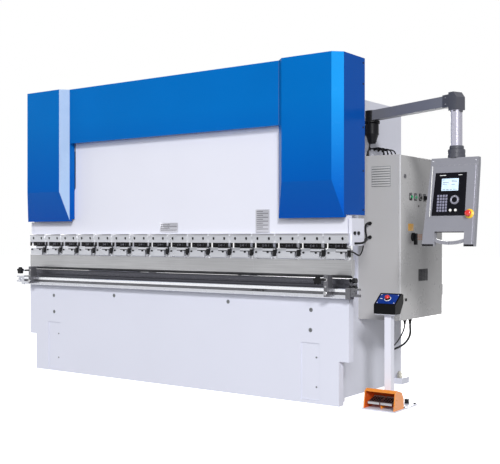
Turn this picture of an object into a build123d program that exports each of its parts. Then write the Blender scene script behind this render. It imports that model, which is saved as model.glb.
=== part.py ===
"""Hydraulic press brake with a 3200 mm bed, built from separate welded, bolted and sliding pieces.

Millimetres. +X runs along the bed to the operator's right, +Y to the back and +Z up. The origin is on
the floor at the centre of the four anchor holes. The ram is at the bottom of its stroke.
"""

from build123d import *
import math
import os

os.makedirs("parts", exist_ok=True)

# Driving dimensions ------------------------------------------------------------------------------
FRONT = -635.0  # front face of the bed; every depth below is counted back from it
WORK_LENGTH = 3200.0
CLAMP_PITCH = 200.0
CLAMP_COUNT = 16

SIDE_INNER = 1345.0  # inner face of a side plate, from the machine's centre
SIDE_OUTER = 1385.0
SIDE_BACK = FRONT + 1208
SIDE_TOP = 2155.0
THROAT_BACK = FRONT + 498
THROAT_LOW = 762.0
THROAT_HIGH = 1290.0
UPPER_NOSE = FRONT + 205  # front edge of the side plates above the throat

BED_HALF = 1597.0
BED_FOOT_HALF = 1520.0
BED_NOTCH = 303.0
BED_TOP = 783.0
BED_THICK = 60.0

RAM_FRONT = FRONT + 22
RAM_BACK = RAM_FRONT + 60
RAM_CENTRE = RAM_FRONT + 30
RAM_BOTTOM = 1105.0
RAM_TOP = 1960.0
RAM_SHOULDER = 1500.0
RAM_HALF = 1574.0
RAM_END_HALF = 1608.0
STROKE = 120.0

COVER_TOP = 2380.0
COVER_SHEET = 4.0
COVER_IN = 1058.0
COVER_OUT = 1581.0
BEAM_FRONT = FRONT - 40
COVER_FRONT = FRONT - 100
BEAM_BOTTOM = 1927.0
COVER_BACK = FRONT + 250

CYLINDER_X = 1320.0
DIE_CENTRE = FRONT + 32
DIE_TOP = 862.0
PUNCH_TIP = 866.0

TORSION_Y = FRONT + 330
TORSION_Z = 1640.0
LEVER = 140.0
LEVER_DROP = math.degrees(math.asin(STROKE / 2 / LEVER))  # half of the lever's swing over the full stroke
LINK_X = 600.0

CAB_IN = 1385.0
CAB_OUT = 1704.0
DOOR_OUT = 1724.5
CAB_FRONT = FRONT + 513
CAB_BACK = FRONT + 1225
CAB_LOW = 548.0
CAB_HIGH = 1728.0
HINGE_X = 1716.0
HINGE_Y = FRONT + 1233

ARM_X = 1480.0
ARM_Y = FRONT + 545
ARM_LOW = 1986.0
ARM_HIGH = 2056.0
TUBE_X = 2275.0
TUBE_Y = FRONT + 195
PENDANT_IN = 2122.0
PENDANT_OUT = 2438.0
LEAN_TOP = 1605.0  # height where the pendant's leaning face begins
LEAN_FRONT = FRONT + 150
LEAN = 8.5  # degrees

STAND_X = 1794.0
STAND_Y = FRONT + 200
STATION_SLOPE = math.degrees(math.atan2(72, 100))

RAIL_FRONT = FRONT - 62
RAIL_BACK = FRONT - 14
RAIL_HALF = 1605.0
CARRIAGE_X = 1480.0


# Shapes used many times ---------------------------------------------------------------------------
def block(x, y, z, mode=Mode.ADD):
    """Box between two limits on each axis."""
    with Locations(((x[0] + x[1]) / 2, (y[0] + y[1]) / 2, (z[0] + z[1]) / 2)):
        Box(x[1] - x[0], y[1] - y[0], z[1] - z[0], mode=mode)


def bar(start, direction, radius, length, mode=Mode.ADD):
    """Round bar from a start point along a direction."""
    with Locations(Plane(origin=start, z_dir=direction)):
        Cylinder(radius, length, align=(Align.CENTER, Align.CENTER, Align.MIN), mode=mode)


def side_profile(points, x, width, mode=Mode.ADD):
    """Outline of (y, z) points, as thick as width from x towards +X."""
    with BuildSketch(Plane.YZ.offset(x)) as outline:
        with BuildLine():
            Polyline(*points, close=True)
        make_face()
    extrude(outline.sketch, amount=width, mode=mode)


def front_profile(points, y, depth, mode=Mode.ADD):
    """Outline of (x, z) points, as deep as depth from y towards +Y."""
    with BuildSketch(Plane.XZ.offset(-(y + depth))) as outline:
        with BuildLine():
            Polyline(*points, close=True)
        make_face()
    extrude(outline.sketch, amount=depth, mode=mode)


def plan_profile(points, z, height, mode=Mode.ADD):
    """Outline of (x, y) points, as high as height from z upwards."""
    with BuildSketch(Plane.XY.offset(z)) as outline:
        with BuildLine():
            Polyline(*points, close=True)
        make_face()
    extrude(outline.sketch, amount=height, mode=mode)


def pair(inner, outer, side):
    """Limits along X of a piece between two distances from the centre, on the left (-1) or right."""
    return (side * inner, side * outer) if side > 0 else (side * outer, side * inner)


def tube_path(points, share=0.45):
    """Straight runs joined by tangent arcs, each as large as its two runs allow."""
    radii = []
    for before, here, after in zip(points, points[1:], points[2:]):
        run_in = Vector(*here) - Vector(*before)
        run_out = Vector(*after) - Vector(*here)
        half_turn = math.radians(run_in.get_angle(run_out)) / 2
        radii.append(share * min(run_in.length, run_out.length) / math.tan(half_turn))
    print("bend radii", [round(r) for r in radii])
    return radii


def cable(points, radius):
    """Round cable along a route of points."""
    radii = tube_path(points)
    with BuildLine() as route:
        FilletPolyline(*points, radius=radii)
    with BuildSketch(Plane(origin=route.line @ 0, z_dir=route.line % 0)) as section:
        Circle(radius)
    sweep(section.sketch, path=route.line)


# Frame --------------------------------------------------------------------------------------------
LUG_OUT = 1455.0
LUG_HIGH = 45.0
FRONT_LUG = (FRONT + 65, FRONT + 190)
REAR_LUG = (FRONT + 1080, FRONT + 1205)
ANCHOR_X = 1420.0
ANCHOR_RADIUS = 11.0
ANCHOR_SPAN = 535.0  # from the origin to each row of anchor holes
LEVEL_SPAN = 475.0
LEVEL_RADIUS = 12.0

with BuildPart() as side_frames:
    profile = [
        (FRONT + BED_THICK, 0),
        (SIDE_BACK, 0),
        (SIDE_BACK, SIDE_TOP),
        (UPPER_NOSE, SIDE_TOP),
        (UPPER_NOSE, THROAT_HIGH),
        (THROAT_BACK - 60, THROAT_HIGH),
        (THROAT_BACK, THROAT_HIGH - 60),
        (THROAT_BACK, THROAT_LOW + 60),
        (THROAT_BACK - 60, THROAT_LOW),
        (FRONT + BED_THICK, THROAT_LOW),
    ]
    for start in (-SIDE_OUTER, SIDE_INNER):
        side_profile(profile, start, SIDE_OUTER - SIDE_INNER)
    for side in (-1, 1):
        for lug in (FRONT_LUG, REAR_LUG):
            block(pair(SIDE_OUTER, LUG_OUT, side), lug, (0, LUG_HIGH))
        for row in (-1, 1):
            at_anchor = (side * ANCHOR_X, row * ANCHOR_SPAN, 0)
            at_level = (side * ANCHOR_X, row * LEVEL_SPAN, 0)
            bar(at_anchor, (0, 0, 1), ANCHOR_RADIUS, LUG_HIGH, Mode.SUBTRACT)
            bar(at_level, (0, 0, 1), LEVEL_RADIUS + 0.5, LUG_HIGH, Mode.SUBTRACT)
side_frames.part.label = "side_frames"
export_step(side_frames.part, "parts/side_frames.step")

with BuildPart() as levelling_bolts:
    for side in (-1, 1):
        for row in (-1, 1):
            bar((side * ANCHOR_X, row * LEVEL_SPAN, 0), (0, 0, 1), LEVEL_RADIUS, 95)
            with BuildSketch(Plane.XY.offset(LUG_HIGH)):
                with Locations((side * ANCHOR_X, row * LEVEL_SPAN)):
                    RegularPolygon(21, 6)
            extrude(amount=20)
            with BuildSketch(Plane.XY.offset(70)):
                with Locations((side * ANCHOR_X, row * LEVEL_SPAN)):
                    RegularPolygon(21, 6)
            extrude(amount=14)
levelling_bolts.part.label = "levelling_bolts"
export_step(levelling_bolts.part, "parts/levelling_bolts.step")

# Bed ----------------------------------------------------------------------------------------------
BED_BOLTS = [(1297, 642), (1293, 503), (581, 668)]
BED_BOLT_HEAD = 14.0
ACCESS_IN = 1215.0
ACCESS_OUT = 1365.0
ACCESS_LOW = 22.0
ACCESS_HIGH = 415.0
ACCESS_DEPTH = 12.0
TABLE_BACK = FRONT + 125
TABLE_THICK = 21.0

with BuildPart() as bed_plate:
    front_profile(
        [
            (-BED_FOOT_HALF, 0),
            (BED_FOOT_HALF, 0),
            (BED_FOOT_HALF, BED_NOTCH),
            (BED_HALF, BED_NOTCH),
            (BED_HALF, BED_TOP),
            (-BED_HALF, BED_TOP),
            (-BED_HALF, BED_NOTCH),
            (-BED_FOOT_HALF, BED_NOTCH),
        ],
        FRONT,
        BED_THICK,
    )
    block((-BED_HALF, BED_HALF), (FRONT + BED_THICK, TABLE_BACK), (BED_TOP - TABLE_THICK, BED_TOP))
    for side in (-1, 1):
        block(
            pair(ACCESS_IN, ACCESS_OUT, side),
            (FRONT, FRONT + ACCESS_DEPTH),
            (ACCESS_LOW, ACCESS_HIGH),
            Mode.SUBTRACT,
        )
        for x, z in BED_BOLTS:
            bar((side * x, FRONT, z), (0, 1, 0), BED_BOLT_HEAD + 1.5, 13, Mode.SUBTRACT)
            bar((side * x, FRONT, z), (0, 1, 0), 9, BED_THICK, Mode.SUBTRACT)
bed_plate.part.label = "bed_plate"
export_step(bed_plate.part, "parts/bed_plate.step")

ACCESS_SCREWS = [115.0, 318.0]

with BuildPart() as access_covers:
    for side in (-1, 1):
        block(
            pair(ACCESS_IN + 1, ACCESS_OUT - 1, side),
            (FRONT + 6, FRONT + ACCESS_DEPTH),
            (ACCESS_LOW + 1, ACCESS_HIGH - 1),
        )
        edge = ACCESS_OUT - 25 if side > 0 else -ACCESS_IN - 25
        for z in ACCESS_SCREWS:
            bar((edge, FRONT, z), (0, 1, 0), 3.2, 20, Mode.SUBTRACT)
access_covers.part.label = "access_covers"
export_step(access_covers.part, "parts/access_covers.step")

DIE_END_BOLTS = [(FRONT + 32, 850.0), (FRONT + 32, 800.0)]

with BuildPart() as frame_bolts:
    for side in (-1, 1):
        for x, z in BED_BOLTS:
            bar((side * x, FRONT + 1, z), (0, 1, 0), BED_BOLT_HEAD, 12)
            bar((side * x, FRONT + 12, z), (0, 1, 0), 8.5, 45)
            bar((side * x, FRONT + 1, z), (0, 1, 0), 6, 7, Mode.SUBTRACT)
        edge = ACCESS_OUT - 25 if side > 0 else -ACCESS_IN - 25
        for z in ACCESS_SCREWS:
            bar((edge, FRONT + 2, z), (0, 1, 0), 6, 4)
            bar((edge, FRONT + 2, z), (0, 1, 0), 3, 10)
    for y, z in DIE_END_BOLTS:
        bar((1600, y, z), (1, 0, 0), 8, 12)
        bar((1612, y, z), (1, 0, 0), 19, 24)
frame_bolts.part.label = "frame_bolts"
export_step(frame_bolts.part, "parts/frame_bolts.step")

# Dies ---------------------------------------------------------------------------------------------
DIE_BASE_TOP = 825.0
DIE_FOOT_TOP = 840.0  # top of the die's narrow foot
HALF = WORK_LENGTH / 2

with BuildPart() as die_base:
    side_profile(
        [
            (FRONT - 5, BED_TOP),
            (FRONT + 110, BED_TOP),
            (FRONT + 110, DIE_BASE_TOP),
            (DIE_CENTRE + 10.2, DIE_BASE_TOP),
            (DIE_CENTRE + 10.2, DIE_BASE_TOP - 13),
            (DIE_CENTRE - 10.2, DIE_BASE_TOP - 13),
            (DIE_CENTRE - 10.2, DIE_BASE_TOP),
            (FRONT + 3, DIE_BASE_TOP),
            (FRONT - 5, DIE_BASE_TOP - 8),
            (FRONT - 5, 800),
            (FRONT - 1, 796),
            (FRONT - 1, 790),
            (FRONT - 5, 786),
        ],
        -HALF,
        WORK_LENGTH,
    )
die_base.part.label = "die_base"
export_step(die_base.part, "parts/die_base.step")

with BuildPart() as bottom_die:
    side_profile(
        [
            (DIE_CENTRE - 24, DIE_BASE_TOP),
            (DIE_CENTRE - 10, DIE_BASE_TOP),
            (DIE_CENTRE - 10, DIE_BASE_TOP - 12),
            (DIE_CENTRE + 10, DIE_BASE_TOP - 12),
            (DIE_CENTRE + 10, DIE_BASE_TOP),
            (DIE_CENTRE + 24, DIE_BASE_TOP),
            (DIE_CENTRE + 24, DIE_FOOT_TOP),
            (DIE_CENTRE + 32, DIE_FOOT_TOP),
            (DIE_CENTRE + 32, DIE_TOP),
            (DIE_CENTRE + 9, DIE_TOP),
            (DIE_CENTRE, DIE_TOP - 12),
            (DIE_CENTRE - 9, DIE_TOP),
            (DIE_CENTRE - 26, DIE_TOP),
            (DIE_CENTRE - 32, DIE_TOP - 6),
            (DIE_CENTRE - 32, DIE_FOOT_TOP),
            (DIE_CENTRE - 24, DIE_FOOT_TOP),
        ],
        -HALF,
        WORK_LENGTH,
    )
bottom_die.part.label = "bottom_die"
export_step(bottom_die.part, "parts/bottom_die.step")

# Ram and punch clamps -------------------------------------------------------------------------------
END_PLATE_IN = 1583.0
END_PLATE_BACK = FRONT + 190
WIDE_TOP = 1150.0  # the full-width strip stays below the covers at the top of the stroke
PAD_LOW = 1440.0

with BuildPart() as ram_plate:
    front_profile(
        [
            (-END_PLATE_IN - 5, RAM_BOTTOM),
            (END_PLATE_IN + 5, RAM_BOTTOM),
            (END_PLATE_IN + 5, WIDE_TOP),
            (RAM_HALF, WIDE_TOP),
            (RAM_HALF, RAM_SHOULDER),
            (1080, RAM_SHOULDER),
            (1050, RAM_SHOULDER + 60),
            (1050, RAM_TOP),
            (-1050, RAM_TOP),
            (-1050, RAM_SHOULDER + 60),
            (-1080, RAM_SHOULDER),
            (-RAM_HALF, RAM_SHOULDER),
            (-RAM_HALF, WIDE_TOP),
            (-END_PLATE_IN - 5, WIDE_TOP),
        ],
        RAM_FRONT,
        RAM_BACK - RAM_FRONT,
    )
    for side in (-1, 1):
        block(pair(END_PLATE_IN, RAM_END_HALF, side), (RAM_FRONT, END_PLATE_BACK), (1085, 1270))
        block(
            pair(CYLINDER_X - 85, CYLINDER_X + 85, side),
            (RAM_CENTRE - 62, RAM_CENTRE + 62),
            (PAD_LOW, RAM_SHOULDER),
        )
ram_plate.part.label = "ram_plate"
export_step(ram_plate.part, "parts/ram_plate.step")

CLAMP_X = [(-(CLAMP_COUNT - 1) / 2 + n) * CLAMP_PITCH for n in range(CLAMP_COUNT)]
PLATE_HALF = 95.0
WINDOW_HALF = 72.0
PLATE_FRONT = FRONT - 5
PLATE_TOP = 1168.0
WINDOW_TOP = 1101.0
JAW_FRONT = FRONT - 20
JAW_LOW = 990.0
JAW_TOP = 1065.0
TANG_FRONT = FRONT + 20
TANG_BACK = FRONT + 34
CLAMP_BACK = FRONT + 70
BOLT_OFFSET = 50.0
PLATE_BOLT_Z = 1129.0
JAW_BOLT_Z = 1036.0

with BuildPart() as clamp_bodies:
    for x in CLAMP_X:
        block((x - PLATE_HALF, x + PLATE_HALF), (PLATE_FRONT, RAM_FRONT), (WINDOW_TOP, PLATE_TOP))
        side_profile(
            [
                (FRONT + 16, WINDOW_TOP + 1),
                (RAM_FRONT, WINDOW_TOP + 1),
                (RAM_FRONT, RAM_BOTTOM),
                (CLAMP_BACK, RAM_BOTTOM),
                (CLAMP_BACK, JAW_LOW + 2),
                (TANG_BACK + 0.3, JAW_LOW + 2),
                (TANG_BACK + 0.3, 1075),
                (FRONT + 16, 1075),
            ],
            x - WINDOW_HALF,
            2 * WINDOW_HALF,
        )
        for dx in (-BOLT_OFFSET, BOLT_OFFSET):
            bar((x + dx, PLATE_FRONT, PLATE_BOLT_Z), (0, 1, 0), 8, 10, Mode.SUBTRACT)
            bar((x + dx, PLATE_FRONT, PLATE_BOLT_Z), (0, 1, 0), 4.2, 27, Mode.SUBTRACT)
clamp_bodies.part.label = "clamp_bodies"
export_step(clamp_bodies.part, "parts/clamp_bodies.step")

with BuildPart() as clamp_jaws:
    for x in CLAMP_X:
        side_profile(
            [
                (JAW_FRONT, JAW_LOW + 6),
                (JAW_FRONT + 6, JAW_LOW),
                (TANG_FRONT - 0.3, JAW_LOW),
                (TANG_FRONT - 0.3, JAW_TOP),
                (JAW_FRONT + 8, JAW_TOP),
                (JAW_FRONT, JAW_TOP - 20),
            ],
            x - 68,
            144,
        )
        for dx in (-BOLT_OFFSET, BOLT_OFFSET):
            bar((x + dx, JAW_FRONT, JAW_BOLT_Z), (0, 1, 0), 4.2, 39.7, Mode.SUBTRACT)
clamp_jaws.part.label = "clamp_jaws"
export_step(clamp_jaws.part, "parts/clamp_jaws.step")

WEDGE_FRONT = JAW_FRONT - 6.5

with BuildPart() as clamp_wedges:
    for x in CLAMP_X:
        block((x + 10, x + 118), (WEDGE_FRONT, JAW_FRONT - 0.2), (1046, 1062))
        block((x + 92, x + 116), (JAW_FRONT - 0.2, JAW_FRONT + 20), (1022, 1068))
clamp_wedges.part.label = "clamp_wedges"
export_step(clamp_wedges.part, "parts/clamp_wedges.step")

END_BOLTS = [FRONT + 52, FRONT + 104]

with BuildPart() as clamp_bolts:
    for x in CLAMP_X:
        for dx in (-BOLT_OFFSET, BOLT_OFFSET):
            bar((x + dx, PLATE_FRONT + 2, PLATE_BOLT_Z), (0, 1, 0), 7, 8)
            bar((x + dx, PLATE_FRONT + 2, PLATE_BOLT_Z), (0, 1, 0), 4, 24)
            bar((x + dx, JAW_FRONT - 6, JAW_BOLT_Z), (0, 1, 0), 7, 6)
            bar((x + dx, JAW_FRONT - 6, JAW_BOLT_Z), (0, 1, 0), 4, 44)
    for side in (-1, 1):
        for y in END_BOLTS:
            bar((side * RAM_END_HALF, y, 1170), (side, 0, 0), 12, 10)
clamp_bolts.part.label = "clamp_bolts"
export_step(clamp_bolts.part, "parts/clamp_bolts.step")

PUNCH_HALF = 1611.0
PUNCH_SECTIONS = 4

with BuildPart() as punch:
    section_length = 2 * PUNCH_HALF / PUNCH_SECTIONS
    for n in range(PUNCH_SECTIONS):
        side_profile(
            [
                (TANG_FRONT, JAW_LOW),
                (FRONT + 10, JAW_LOW - 1),
                (FRONT + 10, 887),
                (DIE_CENTRE - 2, PUNCH_TIP),
                (DIE_CENTRE + 2, PUNCH_TIP),
                (FRONT + 55, 894),
                (FRONT + 55, JAW_LOW - 1),
                (TANG_BACK, JAW_LOW),
                (TANG_BACK, 1058),
                (TANG_FRONT, 1058),
            ],
            -PUNCH_HALF + n * section_length + 0.2,
            section_length - 0.4,
        )
punch.part.label = "punch"
export_step(punch.part, "parts/punch.step")

# Cylinders ------------------------------------------------------------------------------------------
BARREL_LOW = 1640.0
BARREL_HIGH = 2200.0
ROD_RADIUS = 60.0
PISTON_RADIUS = 90.0
FIT = 0.05

with BuildPart() as cylinder_barrels:
    for side in (-1, 1):
        centre = side * CYLINDER_X
        bar((centre, RAM_CENTRE, BARREL_LOW), (0, 0, 1), 120, BARREL_HIGH - BARREL_LOW)
        block((centre - 80, centre + 80), (RAM_CENTRE + 90, UPPER_NOSE), (1700, 2100))
        bar((centre, RAM_CENTRE, 1700), (0, 0, 1), PISTON_RADIUS + FIT, 450, Mode.SUBTRACT)
        bar((centre, RAM_CENTRE, BARREL_LOW), (0, 0, 1), ROD_RADIUS + FIT, 62, Mode.SUBTRACT)
cylinder_barrels.part.label = "cylinder_barrels"
export_step(cylinder_barrels.part, "parts/cylinder_barrels.step")

with BuildPart() as piston_rods:
    for side in (-1, 1):
        foot = (side * CYLINDER_X, RAM_CENTRE, RAM_SHOULDER)
        bar(foot, (0, 0, 1), ROD_RADIUS, 230)
        bar((foot[0], foot[1], 1715), (0, 0, 1), PISTON_RADIUS, 70)
piston_rods.part.label = "piston_rods"
export_step(piston_rods.part, "parts/piston_rods.step")

with BuildPart() as ram_guides:
    for side in (-1, 1):
        block(pair(1325, 1405, side), (RAM_BACK + 0.3, UPPER_NOSE), (1295, 1430))
ram_guides.part.label = "ram_guides"
export_step(ram_guides.part, "parts/ram_guides.step")

# Covers ---------------------------------------------------------------------------------------------
SLOPE_TOP = 1523.0
SLOPE_FOOT = 1285.0
COVER_BOTTOM = 1275.0


def cover_body(side, inset, back):
    """Body of a cylinder cover, drawn in by inset from its outer faces, up to a back plane."""
    front = COVER_FRONT + inset
    corner = BEAM_FRONT + inset * 0.41
    plan = [
        (side * (COVER_IN + inset), back),
        (side * (COVER_IN + inset), corner),
        (side * (COVER_IN + 62 + inset * 0.41), front),
        (side * (COVER_OUT - 61 - inset * 0.41), front),
        (side * (COVER_OUT - inset), corner),
        (side * (COVER_OUT - inset), back),
    ]
    low = COVER_BOTTOM - (5 if inset else 0)
    with BuildPart() as body:
        plan_profile(plan, low, COVER_TOP - inset - low)
        slope = [
            (COVER_FRONT - 1, SLOPE_TOP + 4),
            (COVER_FRONT - 1, low - 1),
            (BEAM_FRONT + inset, low - 1),
            (BEAM_FRONT + inset, SLOPE_FOOT),
            (COVER_FRONT + inset, SLOPE_TOP),
        ]
        side_profile(slope, -1700 if side < 0 else 1000, 700, Mode.SUBTRACT)
    return body.part


with BuildPart() as cylinder_covers:
    for side in (-1, 1):
        add(cover_body(side, 0, COVER_BACK))
        add(cover_body(side, COVER_SHEET, COVER_BACK + 10), mode=Mode.SUBTRACT)
        block(
            pair(COVER_IN - 1, COVER_IN + COVER_SHEET + 1, side),
            (RAM_FRONT - 6, COVER_BACK + 1),
            (COVER_BOTTOM - 1, RAM_TOP + STROKE + 20),
            Mode.SUBTRACT,
        )
        block(  # clears the clamp plates at the top of the stroke
            pair(COVER_IN - 1, COVER_OUT + 1, side),
            (PLATE_FRONT - 8, COVER_BACK + 1),
            (COVER_BOTTOM - 1, PLATE_TOP + STROKE + 6),
            Mode.SUBTRACT,
        )
cylinder_covers.part.label = "cylinder_covers"
export_step(cylinder_covers.part, "parts/cylinder_covers.step")

BEAM_HALF = COVER_IN - 2

with BuildPart() as beam_cover:
    side_profile(
        [
            (BEAM_FRONT, BEAM_BOTTOM),
            (BEAM_FRONT + 40, BEAM_BOTTOM),
            (BEAM_FRONT + 40, BEAM_BOTTOM + COVER_SHEET),
            (BEAM_FRONT + COVER_SHEET, BEAM_BOTTOM + COVER_SHEET),
            (BEAM_FRONT + COVER_SHEET, COVER_TOP - COVER_SHEET),
            (COVER_BACK, COVER_TOP - COVER_SHEET),
            (COVER_BACK, COVER_TOP),
            (BEAM_FRONT, COVER_TOP),
        ],
        -BEAM_HALF,
        2 * BEAM_HALF,
    )
beam_cover.part.label = "beam_cover"
export_step(beam_cover.part, "parts/beam_cover.step")

# Hydraulics -----------------------------------------------------------------------------------------
TANK_FRONT = FRONT + 700
TANK_BACK = FRONT + 1180
TANK_LOW = 1520.0
TANK_HIGH = 1990.0
TANK_WALL = 6.0

with BuildPart() as oil_tank:
    block((-SIDE_INNER, SIDE_INNER), (TANK_FRONT, TANK_BACK), (TANK_LOW, TANK_HIGH))
    block(
        (-SIDE_INNER + TANK_WALL, SIDE_INNER - TANK_WALL),
        (TANK_FRONT + TANK_WALL, TANK_BACK - TANK_WALL),
        (TANK_LOW + TANK_WALL, TANK_HIGH - TANK_WALL),
        Mode.SUBTRACT,
    )
    bar((600, TANK_FRONT + 240, TANK_HIGH - 10), (0, 0, 1), 45, 12, Mode.SUBTRACT)
    for x in (-900, -300, 300, 900):
        block((x - 15, x + 15), (TANK_BACK, TANK_BACK + 25), (TANK_LOW + 30, TANK_HIGH - 30))
oil_tank.part.label = "oil_tank"
export_step(oil_tank.part, "parts/oil_tank.step")

MOTOR_Y = TANK_FRONT + 240
MOTOR_Z = TANK_HIGH + 145

with BuildPart() as pump_motor:
    bar((-560, MOTOR_Y, MOTOR_Z), (1, 0, 0), 110, 380)
    bar((-180, MOTOR_Y, MOTOR_Z), (1, 0, 0), 130, 18)
    bar((-162, MOTOR_Y, MOTOR_Z), (1, 0, 0), 75, 120)
    bar((-42, MOTOR_Y, MOTOR_Z), (1, 0, 0), 50, 130)
    bar((-590, MOTOR_Y, MOTOR_Z), (1, 0, 0), 100, 30)
    block((-460, -340), (MOTOR_Y - 60, MOTOR_Y + 60), (MOTOR_Z + 90, MOTOR_Z + 165))
    block((-520, -220), (MOTOR_Y - 95, MOTOR_Y + 95), (TANK_HIGH, MOTOR_Z - 80))
    bar((600, MOTOR_Y, TANK_HIGH), (0, 0, 1), 60, 14)
    bar((600, MOTOR_Y, TANK_HIGH + 14), (0, 0, 1), 38, 70)
pump_motor.part.label = "pump_motor"
export_step(pump_motor.part, "parts/pump_motor.step")

VALVE_FRONT = FRONT + 560
PIPE_Y = FRONT + 630
PIPE_Z = 1890.0
PIPE_X = 1150.0

with BuildPart() as valve_and_pipes:
    block((-110, 110), (VALVE_FRONT, TANK_FRONT), (1800, 1975))
    for x in (-60, 0, 60):
        bar((x, VALVE_FRONT + 70, 1975), (0, 0, 1), 22, 95)
    for side in (-1, 1):
        block(pair(118, 136, side), (PIPE_Y - 22, PIPE_Y + 22), (PIPE_Z - 22, PIPE_Z + 22))
        points = [
            (side * 136, PIPE_Y, PIPE_Z),
            (side * PIPE_X, PIPE_Y, PIPE_Z),
            (side * PIPE_X, RAM_CENTRE, PIPE_Z),
            (side * (CYLINDER_X - 121), RAM_CENTRE, PIPE_Z),
        ]
        with BuildLine() as pipe_route:
            FilletPolyline(*points, radius=40)
        with BuildSketch(Plane(origin=pipe_route.line @ 0, z_dir=pipe_route.line % 0)):
            Circle(14)
        sweep(path=pipe_route.line)
valve_and_pipes.part.label = "valve_and_pipes"
export_step(valve_and_pipes.part, "parts/valve_and_pipes.step")

# Torsion shaft that keeps both ends of the ram level --------------------------------------------------
SHAFT_RADIUS = 45.0
SHAFT_END = SIDE_INNER - 5
PIN_RADIUS = 14.0
drop = math.radians(LEVER_DROP)
PIN_Y = TORSION_Y - LEVER * math.cos(drop)
PIN_Z = TORSION_Z - LEVER * math.sin(drop)

with BuildPart() as torsion_shaft:
    bar((-SHAFT_END, TORSION_Y, TORSION_Z), (1, 0, 0), SHAFT_RADIUS, 2 * SHAFT_END)
    lever_dir = (0, -math.cos(drop), -math.sin(drop))
    for side in (-1, 1):
        lever_plane = Plane(
            origin=(side * LINK_X - 12, TORSION_Y, TORSION_Z), x_dir=lever_dir, z_dir=(1, 0, 0)
        )
        with BuildSketch(lever_plane):
            with Locations((LEVER / 2, 0)):
                Rectangle(LEVER, 52)
            with Locations((LEVER, 0)):
                Circle(26)
            Circle(64)
        extrude(amount=24)
        bar((side * LINK_X - 27, PIN_Y, PIN_Z), (1, 0, 0), PIN_RADIUS, 54)
torsion_shaft.part.label = "torsion_shaft"
export_step(torsion_shaft.part, "parts/torsion_shaft.step")

with BuildPart() as torsion_bearings:
    for side in (-1, 1):
        block(
            pair(SIDE_INNER - 50, SIDE_INNER, side),
            (TORSION_Y - 75, TORSION_Y + 75),
            (TORSION_Z - 75, TORSION_Z + 75),
        )
        bar(
            (side * (SIDE_INNER - 50), TORSION_Y, TORSION_Z),
            (side, 0, 0),
            SHAFT_RADIUS + FIT,
            50,
            Mode.SUBTRACT,
        )
torsion_bearings.part.label = "torsion_bearings"
export_step(torsion_bearings.part, "parts/torsion_bearings.step")

LINK_FOOT = 1400.0
CHEEK = 10.0
CHEEK_GAP = 13.0  # from the lever's middle to a cheek

with BuildPart() as torsion_links:
    for side in (-1, 1):
        centre = side * LINK_X
        half = CHEEK_GAP + CHEEK
        block((centre - half, centre + half), (RAM_BACK, PIN_Y + 32), (LINK_FOOT - 40, LINK_FOOT))
        for face in (-half, CHEEK_GAP):
            block(
                (centre + face, centre + face + CHEEK),
                (PIN_Y - 50, PIN_Y + 32),
                (LINK_FOOT - 10, PIN_Z + 38),
            )
        with BuildSketch(Plane.YZ.offset(centre - half - 1)):
            with Locations((PIN_Y - 6.5, PIN_Z)):
                SlotOverall(48, 2 * PIN_RADIUS + 4)
        extrude(amount=2 * half + 2, mode=Mode.SUBTRACT)
torsion_links.part.label = "torsion_links"
export_step(torsion_links.part, "parts/torsion_links.step")

# Back gauge -------------------------------------------------------------------------------------------
GAUGE_X = 900.0
GAUGE_RAIL_TOP = 680.0
GAUGE_BEAM = (FRONT + 410, FRONT + 490)
GAUGE_BEAM_Z = (740.0, 820.0)
FINGER_X = 520.0

with BuildPart() as gauge_rails:
    for side in (-1, 1):
        block(
            pair(GAUGE_X - 45, GAUGE_X + 45, side),
            (FRONT + BED_THICK, FRONT + 930),
            (GAUGE_RAIL_TOP - 90, GAUGE_RAIL_TOP - 18),
        )
        block(
            pair(GAUGE_X - 14, GAUGE_X + 14, side),
            (FRONT + 130, FRONT + 910),
            (GAUGE_RAIL_TOP - 18, GAUGE_RAIL_TOP),
        )
        bar((side * GAUGE_X, FRONT + 930, GAUGE_RAIL_TOP - 55), (0, 1, 0), 30, 90)
gauge_rails.part.label = "gauge_rails"
export_step(gauge_rails.part, "parts/gauge_rails.step")

with BuildPart() as gauge_beam:
    block((-1270, 1270), GAUGE_BEAM, GAUGE_BEAM_Z)
    for side in (-1, 1):
        block(
            pair(GAUGE_X - 50, GAUGE_X + 50, side),
            (FRONT + 395, FRONT + 505),
            (GAUGE_RAIL_TOP + 0.3, GAUGE_BEAM_Z[0]),
        )
        for edge in (GAUGE_X - 50, GAUGE_X + 14.3):
            block(
                pair(edge, edge + 35.7, side),
                (FRONT + 395, FRONT + 505),
                (GAUGE_RAIL_TOP - 14, GAUGE_RAIL_TOP + 0.3),
            )
gauge_beam.part.label = "gauge_beam"
export_step(gauge_beam.part, "parts/gauge_beam.step")


def gauge_finger(x):
    """Saddle over the gauge beam with a stop finger that points at the die."""
    block((x - 45, x + 45), (GAUGE_BEAM[0] - 15, GAUGE_BEAM[1] + 15), (820.3, 850))
    block((x - 45, x + 45), (GAUGE_BEAM[0] - 15, GAUGE_BEAM[0] - 0.3), (775, 821))
    block((x - 45, x + 45), (GAUGE_BEAM[1] + 0.3, GAUGE_BEAM[1] + 15), (775, 821))
    block((x - 18, x + 18), (FRONT + 230, GAUGE_BEAM[0] + 40), (849, 880))
    block((x - 18, x + 18), (FRONT + 200, FRONT + 300), (868, 912))
    bar((x, GAUGE_BEAM[0] + 50, 849), (0, 0, 1), 14, 40)


with BuildPart() as gauge_finger_left:
    gauge_finger(-FINGER_X)
gauge_finger_left.part.label = "gauge_finger_left"
export_step(gauge_finger_left.part, "parts/gauge_finger_left.step")

with BuildPart() as gauge_finger_right:
    gauge_finger(FINGER_X)
gauge_finger_right.part.label = "gauge_finger_right"
export_step(gauge_finger_right.part, "parts/gauge_finger_right.step")

# Front support rail -------------------------------------------------------------------------------------
RAIL_LOW = 733.0
RAIL_TOP = 800.0

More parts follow.
